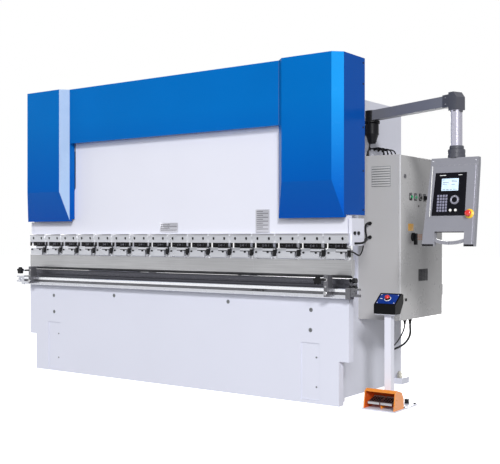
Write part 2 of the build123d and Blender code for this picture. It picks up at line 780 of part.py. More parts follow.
with BuildPart() as support_rail:
    side_profile(
        [
            (RAIL_FRONT, RAIL_LOW + 4),
            (RAIL_FRONT + 4, RAIL_LOW),
            (RAIL_BACK, RAIL_LOW),
            (RAIL_BACK, RAIL_TOP),
            (RAIL_FRONT + 4, RAIL_TOP),
            (RAIL_FRONT, RAIL_TOP - 4),
            (RAIL_FRONT, 778),
            (RAIL_FRONT + 14, 778),
            (RAIL_FRONT + 14, 758),
            (RAIL_FRONT, 758),
        ],
        -RAIL_HALF,
        2 * RAIL_HALF,
    )
support_rail.part.label = "support_rail"
export_step(support_rail.part, "parts/support_rail.step")

BRACKET_TIP = 1712.0

with BuildPart() as rail_brackets:
    for x in (-1400, -700, 0, 700, 1400):
        block((x - 35, x + 35), (RAIL_BACK, FRONT), (742, 782))
    for side in (-1, 1):
        block(pair(RAIL_HALF, 1640, side), (RAIL_FRONT - 2, RAIL_BACK + 4), (731, 806))
        block(pair(1635, BRACKET_TIP, side), (RAIL_FRONT + 4, RAIL_FRONT + 18), (748, 804))
        block(
            pair(1684, BRACKET_TIP + 1, side),
            (RAIL_FRONT + 3, RAIL_FRONT + 19),
            (766, 791),
            Mode.SUBTRACT,
        )
        bar((side * 1663, RAIL_FRONT - 5, 771), (0, 1, 0), 15, 9)
        bar((side * 1663, RAIL_FRONT - 5, 771), (0, 1, 0), 6, 7, Mode.SUBTRACT)
rail_brackets.part.label = "rail_brackets"
export_step(rail_brackets.part, "parts/rail_brackets.step")

CARRIAGE_FRONT = FRONT - 108
KNOB_Z = 858.0
STEM_RADIUS = 7.0
KNOB_BACK = FRONT - 196
KNOB_DEEP = 26.0


def support_carriage(x):
    """Plate that rides in the rail's groove and carries the clamp knob."""
    side_profile(
        [
            (CARRIAGE_FRONT, 744),
            (RAIL_FRONT - 0.3, 744),
            (RAIL_FRONT - 0.3, RAIL_TOP + 0.3),
            (FRONT - 45, RAIL_TOP + 0.3),
            (FRONT - 45, 884),
            (FRONT - 51, 890),
            (CARRIAGE_FRONT, 890),
        ],
        x - 15,
        30,
    )
    block((x - 15, x + 15), (RAIL_FRONT - 1, RAIL_FRONT + 12), (759.5, 776.5))
    bar((x, CARRIAGE_FRONT - 8, 768), (0, 1, 0), 15, 9)
    bar((x, CARRIAGE_FRONT, KNOB_Z), (0, 1, 0), STEM_RADIUS + FIT, 40, Mode.SUBTRACT)


def clamp_knob(x):
    """Five-lobed knob on a screwed stem."""
    bar((x, KNOB_BACK - 2, KNOB_Z), (0, 1, 0), STEM_RADIUS, CARRIAGE_FRONT + 35 - KNOB_BACK)
    with BuildSketch(Plane.XZ.offset(-KNOB_BACK)) as lobes:
        with Locations((x, KNOB_Z)):
            Circle(21)
            with PolarLocations(19, 5, start_angle=90):
                Circle(10.5)
    extrude(lobes.sketch, amount=KNOB_DEEP)


with BuildPart() as carriage_left:
    support_carriage(-CARRIAGE_X)
carriage_left.part.label = "carriage_left"
export_step(carriage_left.part, "parts/carriage_left.step")

with BuildPart() as carriage_right:
    support_carriage(CARRIAGE_X)
carriage_right.part.label = "carriage_right"
export_step(carriage_right.part, "parts/carriage_right.step")

with BuildPart() as knob_left:
    clamp_knob(-CARRIAGE_X)
knob_left.part.label = "knob_left"
export_step(knob_left.part, "parts/knob_left.step")

with BuildPart() as knob_right:
    clamp_knob(CARRIAGE_X)
knob_right.part.label = "knob_right"
export_step(knob_right.part, "parts/knob_right.step")

# Electrical cabinet -----------------------------------------------------------------------------------
CAB_WALL = 4.0
HINGE_HEIGHTS = [700.0, 1540.0]
KNUCKLE = 8.0
HINGE_PIN = 4.0

with BuildPart() as cabinet_body:
    block((CAB_IN, CAB_OUT), (CAB_FRONT, CAB_BACK), (CAB_LOW, CAB_HIGH))
    block(
        (CAB_IN + CAB_WALL, CAB_OUT + 1),
        (CAB_FRONT + CAB_WALL, CAB_BACK - CAB_WALL),
        (CAB_LOW + CAB_WALL, CAB_HIGH - CAB_WALL),
        Mode.SUBTRACT,
    )
    for z in HINGE_HEIGHTS:
        bar((HINGE_X, HINGE_Y, z), (0, 0, 1), KNUCKLE, 40)
        block((CAB_OUT - 30, HINGE_X), (CAB_BACK, HINGE_Y + KNUCKLE), (z, z + 40))
        bar((HINGE_X, HINGE_Y, z), (0, 0, 1), HINGE_PIN, 78)
cabinet_body.part.label = "cabinet_body"
export_step(cabinet_body.part, "parts/cabinet_body.step")

DOOR_IN = CAB_OUT + 0.5
DOOR_FRONT = CAB_FRONT + 3
DOOR_BACK = CAB_BACK - 3
SWITCH_Y = FRONT + 707
SWITCH_Z = 1144.0
BUTTON_Z = 1432.0
LAMP_Y = FRONT + 672
START_Y = FRONT + 752
STOP_Y = FRONT + 832
SELECT_Y = FRONT + 908
LOCK_Y = FRONT + 575
LOCK_Z = 1578.0
SPINDLE = 11.0

with BuildPart() as cabinet_door:
    block((DOOR_IN, DOOR_OUT), (DOOR_FRONT, DOOR_BACK), (CAB_LOW + 3, CAB_HIGH - 3))
    block(
        (DOOR_IN - 1, DOOR_OUT - 3),
        (DOOR_FRONT + 12, DOOR_BACK - 12),
        (CAB_LOW + 15, CAB_HIGH - 15),
        Mode.SUBTRACT,
    )
    for z in HINGE_HEIGHTS:
        bar((HINGE_X, HINGE_Y, z + 40.5), (0, 0, 1), KNUCKLE, 40)
        block((HINGE_X - KNUCKLE, HINGE_X + KNUCKLE), (DOOR_BACK - 1, HINGE_Y), (z + 40.5, z + 80.5))
        bar((HINGE_X, HINGE_Y, z + 40), (0, 0, 1), HINGE_PIN + FIT, 41, Mode.SUBTRACT)
    for y, z in [
        (SWITCH_Y, SWITCH_Z),
        (START_Y, BUTTON_Z),
        (STOP_Y, BUTTON_Z),
        (SELECT_Y, BUTTON_Z),
        (LOCK_Y, LOCK_Z),
    ]:
        bar((DOOR_OUT - 5, y, z), (1, 0, 0), SPINDLE + FIT, 10, Mode.SUBTRACT)
    bar((DOOR_OUT, LAMP_Y, BUTTON_Z), (1, 0, 0), 15, 10)
    for y in (START_Y, STOP_Y):
        bar((DOOR_OUT, y, BUTTON_Z), (1, 0, 0), 16, 5)
        bar((DOOR_OUT - 1, y, BUTTON_Z), (1, 0, 0), SPINDLE + FIT, 8, Mode.SUBTRACT)
cabinet_door.part.label = "cabinet_door"
export_step(cabinet_door.part, "parts/cabinet_door.step")

with BuildPart() as door_lock:
    bar((DOOR_OUT - 30, LOCK_Y, LOCK_Z), (1, 0, 0), SPINDLE, 36)
    bar((DOOR_OUT + 0.3, LOCK_Y, LOCK_Z), (1, 0, 0), 14, 7)
    block((DOOR_OUT - 18, DOOR_OUT - 12), (LOCK_Y - 34, LOCK_Y + 8), (LOCK_Z - 9, LOCK_Z + 9))
door_lock.part.label = "door_lock"
export_step(door_lock.part, "parts/door_lock.step")

with BuildPart() as main_switch:
    bar((DOOR_OUT - 25, SWITCH_Y, SWITCH_Z), (1, 0, 0), SPINDLE, 30)
    bar((DOOR_OUT + 0.3, SWITCH_Y, SWITCH_Z), (1, 0, 0), 31, 12)
    block((DOOR_OUT + 12, DOOR_OUT + 34), (SWITCH_Y - 9, SWITCH_Y + 9), (SWITCH_Z - 56, SWITCH_Z + 26))
main_switch.part.label = "main_switch"
export_step(main_switch.part, "parts/main_switch.step")


def door_button(y):
    """Push button whose stem runs through the door."""
    bar((DOOR_OUT - 22, y, BUTTON_Z), (1, 0, 0), SPINDLE, 34)
    bar((DOOR_OUT - 22, y, BUTTON_Z), (1, 0, 0), 14, 8)


with BuildPart() as start_button:
    door_button(START_Y)
start_button.part.label = "start_button"
export_step(start_button.part, "parts/start_button.step")

with BuildPart() as stop_button:
    door_button(STOP_Y)
stop_button.part.label = "stop_button"
export_step(stop_button.part, "parts/stop_button.step")

with BuildPart() as mode_selector:
    bar((DOOR_OUT - 25, SELECT_Y, BUTTON_Z), (1, 0, 0), SPINDLE, 30)
    bar((DOOR_OUT + 0.3, SELECT_Y, BUTTON_Z), (1, 0, 0), 15, 9)
    block((DOOR_OUT + 8, DOOR_OUT + 22), (SELECT_Y - 4, SELECT_Y + 4), (BUTTON_Z - 14, BUTTON_Z + 14))
mode_selector.part.label = "mode_selector"
export_step(mode_selector.part, "parts/mode_selector.step")

with BuildPart() as switchgear:
    block((CAB_IN + 14, CAB_IN + 17), (CAB_FRONT + 50, CAB_BACK - 50), (CAB_LOW + 60, CAB_HIGH - 60))
    for y in (CAB_FRONT + 90, CAB_BACK - 90):
        for z in (CAB_LOW + 100, CAB_HIGH - 100):
            bar((CAB_IN + CAB_WALL, y, z), (1, 0, 0), 6, 12)
    for z in (760, 1010, 1260, 1500):
        block((CAB_IN + 16, CAB_IN + 24), (CAB_FRONT + 80, CAB_BACK - 80), (z - 18, z + 18))
        for n in range(6):
            y = CAB_FRONT + 100 + n * 86
            block((CAB_IN + 23, CAB_IN + 90), (y, y + 66), (z - 48, z + 48))
switchgear.part.label = "switchgear"
export_step(switchgear.part, "parts/switchgear.step")

# Swing arm and pendant ----------------------------------------------------------------------------------
arm_angle = math.degrees(math.atan2(TUBE_Y - ARM_Y, TUBE_X - ARM_X))
arm_length = math.hypot(TUBE_Y - ARM_Y, TUBE_X - ARM_X)
arm_dir = (math.cos(math.radians(arm_angle)), math.sin(math.radians(arm_angle)), 0)
SWIVEL_PIN = 20.0

with BuildPart() as arm_base:
    with BuildSketch(Plane(origin=(ARM_X, ARM_Y, 0), x_dir=(1, 0, 0), z_dir=(0, -1, 0))) as cone:
        with BuildLine():
            Polyline(
                (0, 1820), (24, 1820), (30, 1832), (48, 1890), (48, 1962), (44, 1968), (50, 1974),
                (50, ARM_LOW - 0.3), (0, ARM_LOW - 0.3), close=True,
            )
        make_face()
    revolve(cone.sketch, axis=Axis((ARM_X, ARM_Y, 0), (0, 0, 1)))
    block((SIDE_OUTER, ARM_X), (ARM_Y - 25, ARM_Y + 25), (1885, 1955))
    bar((ARM_X, ARM_Y, ARM_LOW - 1), (0, 0, 1), SWIVEL_PIN, 41)
arm_base.part.label = "arm_base"
export_step(arm_base.part, "parts/arm_base.step")

ELBOW_LOW = 1956.0
ELBOW_HIGH = 2074.0
ELBOW_HALF = 37.0

with BuildPart() as swing_arm:
    arm_plane = Plane(origin=(ARM_X, ARM_Y, ARM_LOW), x_dir=arm_dir, z_dir=(0, 0, 1))
    with BuildSketch(arm_plane):
        Circle(50)
        with Locations((arm_length / 2, 0)):
            Rectangle(arm_length, 62)
    extrude(amount=ARM_HIGH - ARM_LOW)
    elbow_side = Vector(arm_dir[1], -arm_dir[0], 0)
    elbow_start = Vector(TUBE_X, TUBE_Y, 0) - elbow_side * ELBOW_HALF
    with BuildSketch(Plane(origin=elbow_start, x_dir=arm_dir, z_dir=elbow_side)):
        with BuildLine():
            Polyline(
                (-ELBOW_HALF, ELBOW_LOW),
                (ELBOW_HALF, ELBOW_LOW),
                (ELBOW_HALF, ELBOW_HIGH - 36),
                (8, ELBOW_HIGH),
                (-ELBOW_HALF, ELBOW_HIGH),
                close=True,
            )
        make_face()
    extrude(amount=2 * ELBOW_HALF)
    sleeve_plane = Plane(origin=(TUBE_X, TUBE_Y, ARM_LOW - 6), x_dir=arm_dir, z_dir=(0, 0, 1))
    with BuildSketch(sleeve_plane):
        with Locations((-64, 0)):
            Rectangle(60, 70)
    extrude(amount=ARM_HIGH - ARM_LOW + 12)
    bar((ARM_X, ARM_Y, ARM_LOW - 1), (0, 0, 1), SWIVEL_PIN + FIT, 46, Mode.SUBTRACT)
    bar((TUBE_X, TUBE_Y, ELBOW_LOW - 1), (0, 0, 1), SWIVEL_PIN + FIT, 46, Mode.SUBTRACT)
swing_arm.part.label = "swing_arm"
export_step(swing_arm.part, "parts/swing_arm.step")

COLLAR_LOW = 1650.0

with BuildPart() as pendant_tube:
    bar((TUBE_X, TUBE_Y, ELBOW_LOW - 10), (0, 0, 1), SWIVEL_PIN, 48)
    with BuildSketch(Plane(origin=(TUBE_X, TUBE_Y, 1720))):
        RectangleRounded(58, 78, 18)
    extrude(amount=ELBOW_LOW - 0.3 - 1720)
    bar((TUBE_X, TUBE_Y, 1702), (0, 0, 1), 44, 26)
    bar((TUBE_X, TUBE_Y, COLLAR_LOW), (0, 0, 1), 54, 54)
pendant_tube.part.label = "pendant_tube"
export_step(pendant_tube.part, "parts/pendant_tube.step")

PENDANT_BACK = FRONT + 250
lean_tan = math.tan(math.radians(LEAN))


def lean_y(z):
    """Depth of the pendant's leaning face at a height."""
    return LEAN_FRONT - (LEAN_TOP - z) * lean_tan


lean_normal = (0, -math.cos(math.radians(LEAN)), math.sin(math.radians(LEAN)))
lean_into = (0, math.cos(math.radians(LEAN)), -math.sin(math.radians(LEAN)))
ESTOP_X = 2398.0
ESTOP_Z = 1290.0
DIAL_X = 2297.0
DIAL_Z = 1378.0
KEY_X = [2273.0, 2308.0]
KEY_Z = 1312.0
PENDANT_LOW = 1085.0
SHELL = 42.0  # depth of the front shell
WALL = 3.0
REAR_LOW = 1330.0
REAR_INSET = 40.0  # the housing behind the shell is narrower on each side
FLARE = 34.0  # the left edge runs outwards by this much towards the bottom
HANDLE_IN = 2170.0
HANDLE_OUT = 2370.0
HANDLE_TOP = 1178.0
GRIP_Z = 1112.0

with BuildPart() as pendant_box:
    side_profile(
        [
            (LEAN_FRONT, COLLAR_LOW),
            (LEAN_FRONT, LEAN_TOP),
            (lean_y(PENDANT_LOW), PENDANT_LOW),
            (lean_y(PENDANT_LOW) + SHELL, PENDANT_LOW),
            (LEAN_FRONT + SHELL, LEAN_TOP),
            (LEAN_FRONT + SHELL, COLLAR_LOW),
        ],
        PENDANT_IN - FLARE,
        PENDANT_OUT - PENDANT_IN + FLARE,
    )
    with BuildSketch(Plane.XZ.offset(-PENDANT_BACK)):
        with BuildLine():
            Polyline(
                (PENDANT_IN, COLLAR_LOW),
                (PENDANT_IN - FLARE, PENDANT_LOW),
                (PENDANT_IN - FLARE - 1, PENDANT_LOW),
                (PENDANT_IN - FLARE - 1, COLLAR_LOW + 1),
                (PENDANT_IN, COLLAR_LOW + 1),
                close=True,
            )
        make_face()
    extrude(amount=PENDANT_BACK - FRONT, mode=Mode.SUBTRACT)
    side_profile(
        [
            (LEAN_FRONT + SHELL - 1, COLLAR_LOW),
            (LEAN_FRONT + SHELL - 1, LEAN_TOP),
            (lean_y(REAR_LOW) + SHELL - 1, REAR_LOW),
            (PENDANT_BACK, REAR_LOW + 40),
            (PENDANT_BACK, COLLAR_LOW),
        ],
        PENDANT_IN + REAR_INSET,
        PENDANT_OUT - PENDANT_IN - 2 * REAR_INSET,
    )
    side_profile(
        [
            (LEAN_FRONT + WALL, COLLAR_LOW - WALL),
            (LEAN_FRONT + WALL, LEAN_TOP),
            (lean_y(1240) + WALL, 1240),
            (lean_y(1240) + SHELL - WALL, 1240),
            (LEAN_FRONT + SHELL - WALL, LEAN_TOP),
            (LEAN_FRONT + SHELL - WALL, COLLAR_LOW - WALL),
        ],
        PENDANT_IN + WALL,
        PENDANT_OUT - PENDANT_IN - 2 * WALL,
        Mode.SUBTRACT,
    )
    side_profile(
        [
            (LEAN_FRONT + SHELL - WALL - 1, COLLAR_LOW - WALL),
            (LEAN_FRONT + SHELL - WALL - 1, LEAN_TOP),
            (lean_y(1370) + SHELL - WALL - 1, 1370),
            (PENDANT_BACK - WALL, 1374),
            (PENDANT_BACK - WALL, COLLAR_LOW - WALL),
        ],
        PENDANT_IN + REAR_INSET + WALL,
        PENDANT_OUT - PENDANT_IN - 2 * (REAR_INSET + WALL),
        Mode.SUBTRACT,
    )
    block((HANDLE_IN, HANDLE_OUT), (FRONT, FRONT + 200), (PENDANT_LOW - 5, HANDLE_TOP), Mode.SUBTRACT)
    for x, z in [(ESTOP_X, ESTOP_Z), (DIAL_X, DIAL_Z), (KEY_X[0], KEY_Z), (KEY_X[1], KEY_Z)]:
        seat = Vector(x, lean_y(z), z) + Vector(*lean_normal)
        bar(tuple(seat), lean_into, 6 + FIT, 12, Mode.SUBTRACT)
    grip_y = lean_y(GRIP_Z) + 20
    with BuildLine() as grip_line:
        ThreePointArc(
            (HANDLE_IN - 10, grip_y, GRIP_Z + 14),
            ((HANDLE_IN + HANDLE_OUT) / 2, grip_y, GRIP_Z - 6),
            (HANDLE_OUT + 10, grip_y, GRIP_Z + 14),
        )
    with BuildSketch(Plane(origin=grip_line.line @ 0, z_dir=grip_line.line % 0)) as grip:
        Circle(9)
    sweep(grip.sketch, path=grip_line.line)
pendant_box.part.label = "pendant_box"
export_step(pendant_box.part, "parts/pendant_box.step")


def face_button(x, z, stem, head, proud):
    """Button on the leaning face: a stem through the sheet and a head standing proud of it."""
    start = Vector(x, lean_y(z), z) + Vector(*lean_into) * 20
    bar(tuple(start), lean_normal, stem, 20 + proud)
    top = Vector(x, lean_y(z), z) + Vector(*lean_normal) * proud
    bar(tuple(top), lean_normal, head, 12)


with BuildPart() as pendant_estop:
    face_button(ESTOP_X, ESTOP_Z, 6, 20, 16)
    base = Vector(ESTOP_X, lean_y(ESTOP_Z), ESTOP_Z) + Vector(*lean_normal) * 28
    bar(tuple(base), lean_normal, 17, 8)
pendant_estop.part.label = "pendant_estop"
export_step(pendant_estop.part, "parts/pendant_estop.step")

with BuildPart() as pendant_dial:
    face_button(DIAL_X, DIAL_Z, 6, 29, 2)
pendant_dial.part.label = "pendant_dial"
export_step(pendant_dial.part, "parts/pendant_dial.step")

with BuildPart() as pendant_key_left:
    face_button(KEY_X[0], KEY_Z, 6, 11, 6)
pendant_key_left.part.label = "pendant_key_left"
export_step(pendant_key_left.part, "parts/pendant_key_left.step")

with BuildPart() as pendant_key_right:
    face_button(KEY_X[1], KEY_Z, 6, 11, 6)
pendant_key_right.part.label = "pendant_key_right"
export_step(pendant_key_right.part, "parts/pendant_key_right.step")

# Foot station -------------------------------------------------------------------------------------------
PLATE_THICK = 8.0
COLUMN = 48.0
BOX_LOW = 628.0
BOX_IN = 1708.0
BOX_OUT = 1868.0

with BuildPart() as station_stand:
    block((1684, 1922), (FRONT + 15, FRONT + 370), (0, PLATE_THICK))
    half = COLUMN / 2
    block((STAND_X - half, STAND_X + half), (STAND_Y - half, STAND_Y + half), (PLATE_THICK, BOX_LOW - 6))
    block((BOX_IN + 10, BOX_OUT - 10), (FRONT + 146, FRONT + 213), (BOX_LOW - 6, BOX_LOW))
station_stand.part.label = "station_stand"
export_step(station_stand.part, "parts/station_stand.step")

with BuildPart() as station_box:
    side_profile(
        [
            (FRONT + 140, BOX_LOW),
            (FRONT + 215, BOX_LOW),
            (FRONT + 262, 700),
            (FRONT + 262, 755),
            (FRONT + 240, 762),
            (FRONT + 140, 690),
        ],
        BOX_IN,
        BOX_OUT - BOX_IN,
    )
    side_profile(
        [
            (FRONT + 144, BOX_LOW + 4),
            (FRONT + 213, BOX_LOW + 4),
            (FRONT + 258, 702),
            (FRONT + 258, 750),
            (FRONT + 241, 756),
            (FRONT + 144, 686),
        ],
        BOX_IN + 4,
        BOX_OUT - BOX_IN - 8,
        Mode.SUBTRACT,
    )
    slope_normal = (0, -math.sin(math.radians(STATION_SLOPE)), math.cos(math.radians(STATION_SLOPE)))
    slope_into = (0, -slope_normal[1], -slope_normal[2])
    STOP_CENTRE = Vector(1788, FRONT + 190, 726)
    bar(tuple(STOP_CENTRE + Vector(*slope_normal) * 2), slope_into, 8 + FIT, 12, Mode.SUBTRACT)
station_box.part.label = "station_box"
export_step(station_box.part, "parts/station_box.step")

with BuildPart() as station_estop:
    bar(tuple(STOP_CENTRE + Vector(*slope_into) * 20), slope_normal, 8, 34)
    bar(tuple(STOP_CENTRE + Vector(*slope_normal) * 12), slope_normal, 20, 16)
station_estop.part.label = "station_estop"
export_step(station_estop.part, "parts/station_estop.step")

HOOD_IN = 1690.0
HOOD_OUT = 1916.0
PEDAL_HINGE_Y = FRONT + 140
PEDAL_HINGE_Z = 74.0
PEDAL_WIDE = 84.0
PEDAL_X = [1757.0, 1849.0]
ROD = 4.0

with BuildPart() as pedal_hood:
    side_profile(
        [
            (FRONT + 28, PLATE_THICK),
            (FRONT + 46, 122),
            (FRONT + 72, 136),
            (FRONT + 140, 116),
            (FRONT + 168, 70),
            (FRONT + 168, PLATE_THICK),
        ],
        HOOD_IN,
        HOOD_OUT - HOOD_IN,
    )
    side_profile(
        [
            (FRONT + 20, PLATE_THICK - 1),
            (FRONT + 36, 116),
            (FRONT + 72, 130),
            (FRONT + 136, 111),
            (FRONT + 162, 68),
            (FRONT + 162, PLATE_THICK - 1),
        ],
        HOOD_IN + 6,
        HOOD_OUT - HOOD_IN - 12,
        Mode.SUBTRACT,
    )
    bar((HOOD_IN + 1, PEDAL_HINGE_Y, PEDAL_HINGE_Z), (1, 0, 0), ROD, HOOD_OUT - HOOD_IN - 2)
pedal_hood.part.label = "pedal_hood"
export_step(pedal_hood.part, "parts/pedal_hood.step")


def treadle(x):
    """Foot treadle on a hinge rod across its back edge."""
    bar((x - PEDAL_WIDE / 2, PEDAL_HINGE_Y, PEDAL_HINGE_Z), (1, 0, 0), ROD + 5, PEDAL_WIDE)
    side_profile(
        [
            (PEDAL_HINGE_Y, PEDAL_HINGE_Z - 4),
            (PEDAL_HINGE_Y, PEDAL_HINGE_Z + 4),
            (FRONT + 47, 54),
            (FRONT + 44, 50),
            (FRONT + 44, 38),
            (FRONT + 49, 38),
            (FRONT + 49, 46),
        ],
        x - PEDAL_WIDE / 2,
        PEDAL_WIDE,
    )
    bar(
        (x - PEDAL_WIDE / 2 - 1, PEDAL_HINGE_Y, PEDAL_HINGE_Z),
        (1, 0, 0),
        ROD + FIT,
        PEDAL_WIDE + 2,
        Mode.SUBTRACT,
    )


with BuildPart() as pedal_left:
    treadle(PEDAL_X[0])
pedal_left.part.label = "pedal_left"
export_step(pedal_left.part, "parts/pedal_left.step")

with BuildPart() as pedal_right:
    treadle(PEDAL_X[1])
pedal_right.part.label = "pedal_right"
export_step(pedal_right.part, "parts/pedal_right.step")

# Cables and their glands --------------------------------------------------------------------------------
THICK_CABLE = 7.5
THIN_CABLE = 5.0
GLAND = 15.0
RAM_GLAND_X = 1482.0
RAM_GLAND_Z = [1242.0, 1142.0]
LOW_GLANDS = [(1680.0, FRONT + 668), (1689.0, FRONT + 736)]
TOP_GLAND_X = 1500.0
TOP_GLAND_Y = [FRONT + 690, FRONT + 755, FRONT + 820, FRONT + 885]
ARM_GLAND = (1452.0, FRONT + 532)
FOOT_GLAND = (1852.0, FRONT + 345)

with BuildPart() as cable_glands:
    for z in RAM_GLAND_Z:
        bar((RAM_GLAND_X, CAB_FRONT, z), (0, -1, 0), 12, GLAND)
    for x, y in LOW_GLANDS:
        bar((x, y, CAB_LOW), (0, 0, -1), 12, GLAND)
    for y in TOP_GLAND_Y:
        bar((TOP_GLAND_X, y, CAB_HIGH), (0, 0, 1), 10, GLAND)
    bar((*ARM_GLAND, CAB_HIGH), (0, 0, 1), 10, GLAND)
    bar((*FOOT_GLAND, PLATE_THICK), (0, 0, 1), 15, 30)
cable_glands.part.label = "cable_glands"
export_step(cable_glands.part, "parts/cable_glands.step")

with BuildPart() as ram_cable_upper:
    cable(
        [
            (RAM_GLAND_X, CAB_FRONT - GLAND, 1242),
            (RAM_GLAND_X, CAB_FRONT - 50, 1242),
            (1498, FRONT + 410, 1224),
            (1530, FRONT + 350, 1192),
            (1574, FRONT + 280, 1158),
            (1620, FRONT + 205, 1130),
            (1644, FRONT + 140, 1114),
            (1653, FRONT + 100, 1106),
            (1648, FRONT + 72, 1102),
            (1632, FRONT + 60, 1101),
            (RAM_END_HALF, FRONT + 60, 1101),
        ],
        THICK_CABLE,
    )
ram_cable_upper.part.label = "ram_cable_upper"
export_step(ram_cable_upper.part, "parts/ram_cable_upper.step")

with BuildPart() as ram_cable_lower:
    cable(
        [
            (RAM_GLAND_X, CAB_FRONT - GLAND, 1142),
            (RAM_GLAND_X, CAB_FRONT - 60, 1142),
            (1506, FRONT + 385, 1125),
            (1540, FRONT + 305, 1093),
            (1578, FRONT + 225, 1058),
            (1612, FRONT + 140, 1032),
            (1641, FRONT + 70, 1020),
            (1651, FRONT + 25, 1022),
            (1646, FRONT + 2, 1032),
            (1634, FRONT - 9, 1044),
            (CLAMP_X[-1] + 116, FRONT - 9, 1044),
        ],
        THIN_CABLE,
    )
ram_cable_lower.part.label = "ram_cable_lower"
export_step(ram_cable_lower.part, "parts/ram_cable_lower.step")

with BuildPart() as cabinet_cables:
    cable(
        [
            (*LOW_GLANDS[0], CAB_LOW - GLAND),
            (*LOW_GLANDS[0], CAB_LOW - 45),
            (1668, FRONT + 672, 465),
            (1636, FRONT + 700, 425),
            (1575, FRONT + 778, 380),
            (1500, FRONT + 885, 338),
            (1430, FRONT + 995, 308),
            (SIDE_OUTER + 22, FRONT + 1035, 298),
            (SIDE_OUTER, FRONT + 1035, 298),
        ],
        THIN_CABLE,
    )
    cable(
        [
            (*LOW_GLANDS[1], CAB_LOW - GLAND),
            (*LOW_GLANDS[1], CAB_LOW - 50),
            (1682, FRONT + 758, 440),
            (1652, FRONT + 790, 395),
            (1590, FRONT + 845, 346),
            (1500, FRONT + 935, 306),
            (1432, FRONT + 1010, 282),
            (SIDE_OUTER + 24, FRONT + 1042, 274),
            (SIDE_OUTER, FRONT + 1042, 274),
        ],
        THICK_CABLE,
    )
    for y in TOP_GLAND_Y:
        cable(
            [
                (SIDE_OUTER, y, 1800),
                (SIDE_OUTER + 30, y, 1800),
                (SIDE_OUTER + 66, y + 2, 1806),
                (SIDE_OUTER + 98, y + 2, 1796),
                (TOP_GLAND_X, y, 1770),
                (TOP_GLAND_X, y, CAB_HIGH + GLAND),
            ],
            THIN_CABLE,
        )
    cable(
        [
            (1464, FRONT + 540, 1819),
            (1463, FRONT + 539, 1800),
            (1458, FRONT + 536, 1780),
            (ARM_GLAND[0], ARM_GLAND[1], 1760),
            (ARM_GLAND[0], ARM_GLAND[1], CAB_HIGH + GLAND),
        ],
        THIN_CABLE,
    )
cabinet_cables.part.label = "cabinet_cables"
export_step(cabinet_cables.part, "parts/cabinet_cables.step")
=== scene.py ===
"""Looks of the hydraulic press brake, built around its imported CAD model.

Lengths are millimetres of the row frame, with Y counted back from the bed's front face. Every mesh is
scaled to metres when it is finished. The camera, the lights and the floor are in metres from the start.
"""

import math

import bmesh
import bpy
from mathutils import Matrix, Vector


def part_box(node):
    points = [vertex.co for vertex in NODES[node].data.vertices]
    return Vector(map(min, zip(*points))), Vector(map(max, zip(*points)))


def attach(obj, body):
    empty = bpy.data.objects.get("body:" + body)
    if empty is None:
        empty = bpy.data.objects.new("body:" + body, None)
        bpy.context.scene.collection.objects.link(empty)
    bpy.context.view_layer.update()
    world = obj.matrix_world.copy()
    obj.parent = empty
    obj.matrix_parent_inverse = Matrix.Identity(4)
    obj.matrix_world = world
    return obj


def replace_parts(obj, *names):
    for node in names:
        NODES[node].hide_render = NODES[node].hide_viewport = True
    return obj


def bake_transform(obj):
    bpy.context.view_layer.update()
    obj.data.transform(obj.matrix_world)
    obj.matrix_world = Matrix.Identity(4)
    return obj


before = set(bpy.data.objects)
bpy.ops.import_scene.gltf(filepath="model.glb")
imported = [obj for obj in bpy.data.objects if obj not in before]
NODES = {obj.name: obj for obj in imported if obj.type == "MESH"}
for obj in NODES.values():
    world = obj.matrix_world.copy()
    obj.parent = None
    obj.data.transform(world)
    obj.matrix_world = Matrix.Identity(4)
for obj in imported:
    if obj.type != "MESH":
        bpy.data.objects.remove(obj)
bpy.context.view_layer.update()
MM = 0.001


def low_corner(node):
    """Lowest corner of a CAD node, in millimetres of the row frame."""
    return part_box(node)[0] / MM


FRONT = low_corner("bed_plate").y  # front face of the bed, from which every other Y is counted


def add_object(name, data, place=(0, 0, 0), aim=None):
    """Links a new object and, where asked, points its -Z along aim."""
    made = bpy.data.objects.new(name, data)
    made.location = place
    if aim:
        made.rotation_mode = "QUATERNION"
        made.rotation_quaternion = Vector(aim).to_track_quat("-Z", "Y")
    bpy.context.scene.collection.objects.link(made)
    return made


# Camera ------------------------------------------------------------------------------------------
CAMERA_PLACE = (4.54399, -5.84553, 1.14578)
CAMERA_LOOK = (-0.5855, 0.8107, 0.0)
SENSOR = 36.0
LENS = 64.1
LENS_SHIFT = 0.0094

camera_data = bpy.data.cameras.new("camera")
camera_data.lens = LENS
camera_data.sensor_width = SENSOR
camera_data.shift_y = LENS_SHIFT
camera_data.clip_end = 100.0
bpy.context.scene.camera = add_object("camera", camera_data, CAMERA_PLACE, CAMERA_LOOK)
bpy.context.scene.view_settings.view_transform = "Standard"


# Meshes ------------------------------------------------------------------------------------------
def facing(origin, normal):
    """Local frame on a face: x to the right, y up along the face and z out of it."""
    out = Vector(normal).normalized()
    right = Vector((0, 0, 1)).cross(out).normalized()
    if right.length < 0.5:
        right = Vector((1, 0, 0))
    up = out.cross(right)
    rows = Matrix((right, up, out)).transposed().to_4x4()
    rows.translation = Vector(origin) + Vector((0, FRONT, 0))
    return rows


def around(count, radius, start=0.0, turn=360.0):
    """Points of two coordinates on a circle, from an angle on, in degrees."""
    angles = [math.radians(start + turn * n / count) for n in range(count)]
    return [(radius * math.cos(a), radius * math.sin(a)) for a in angles]


def front_face(y):
    """Frame on a face that looks towards the operator; its x and y are X and Z."""
    return facing((0, y, 0), (0, -1, 0))


def side_face(x):
    """Frame on a face that looks along +X; its x and y are Y and Z."""
    return facing((x, 0, 0), (1, 0, 0))


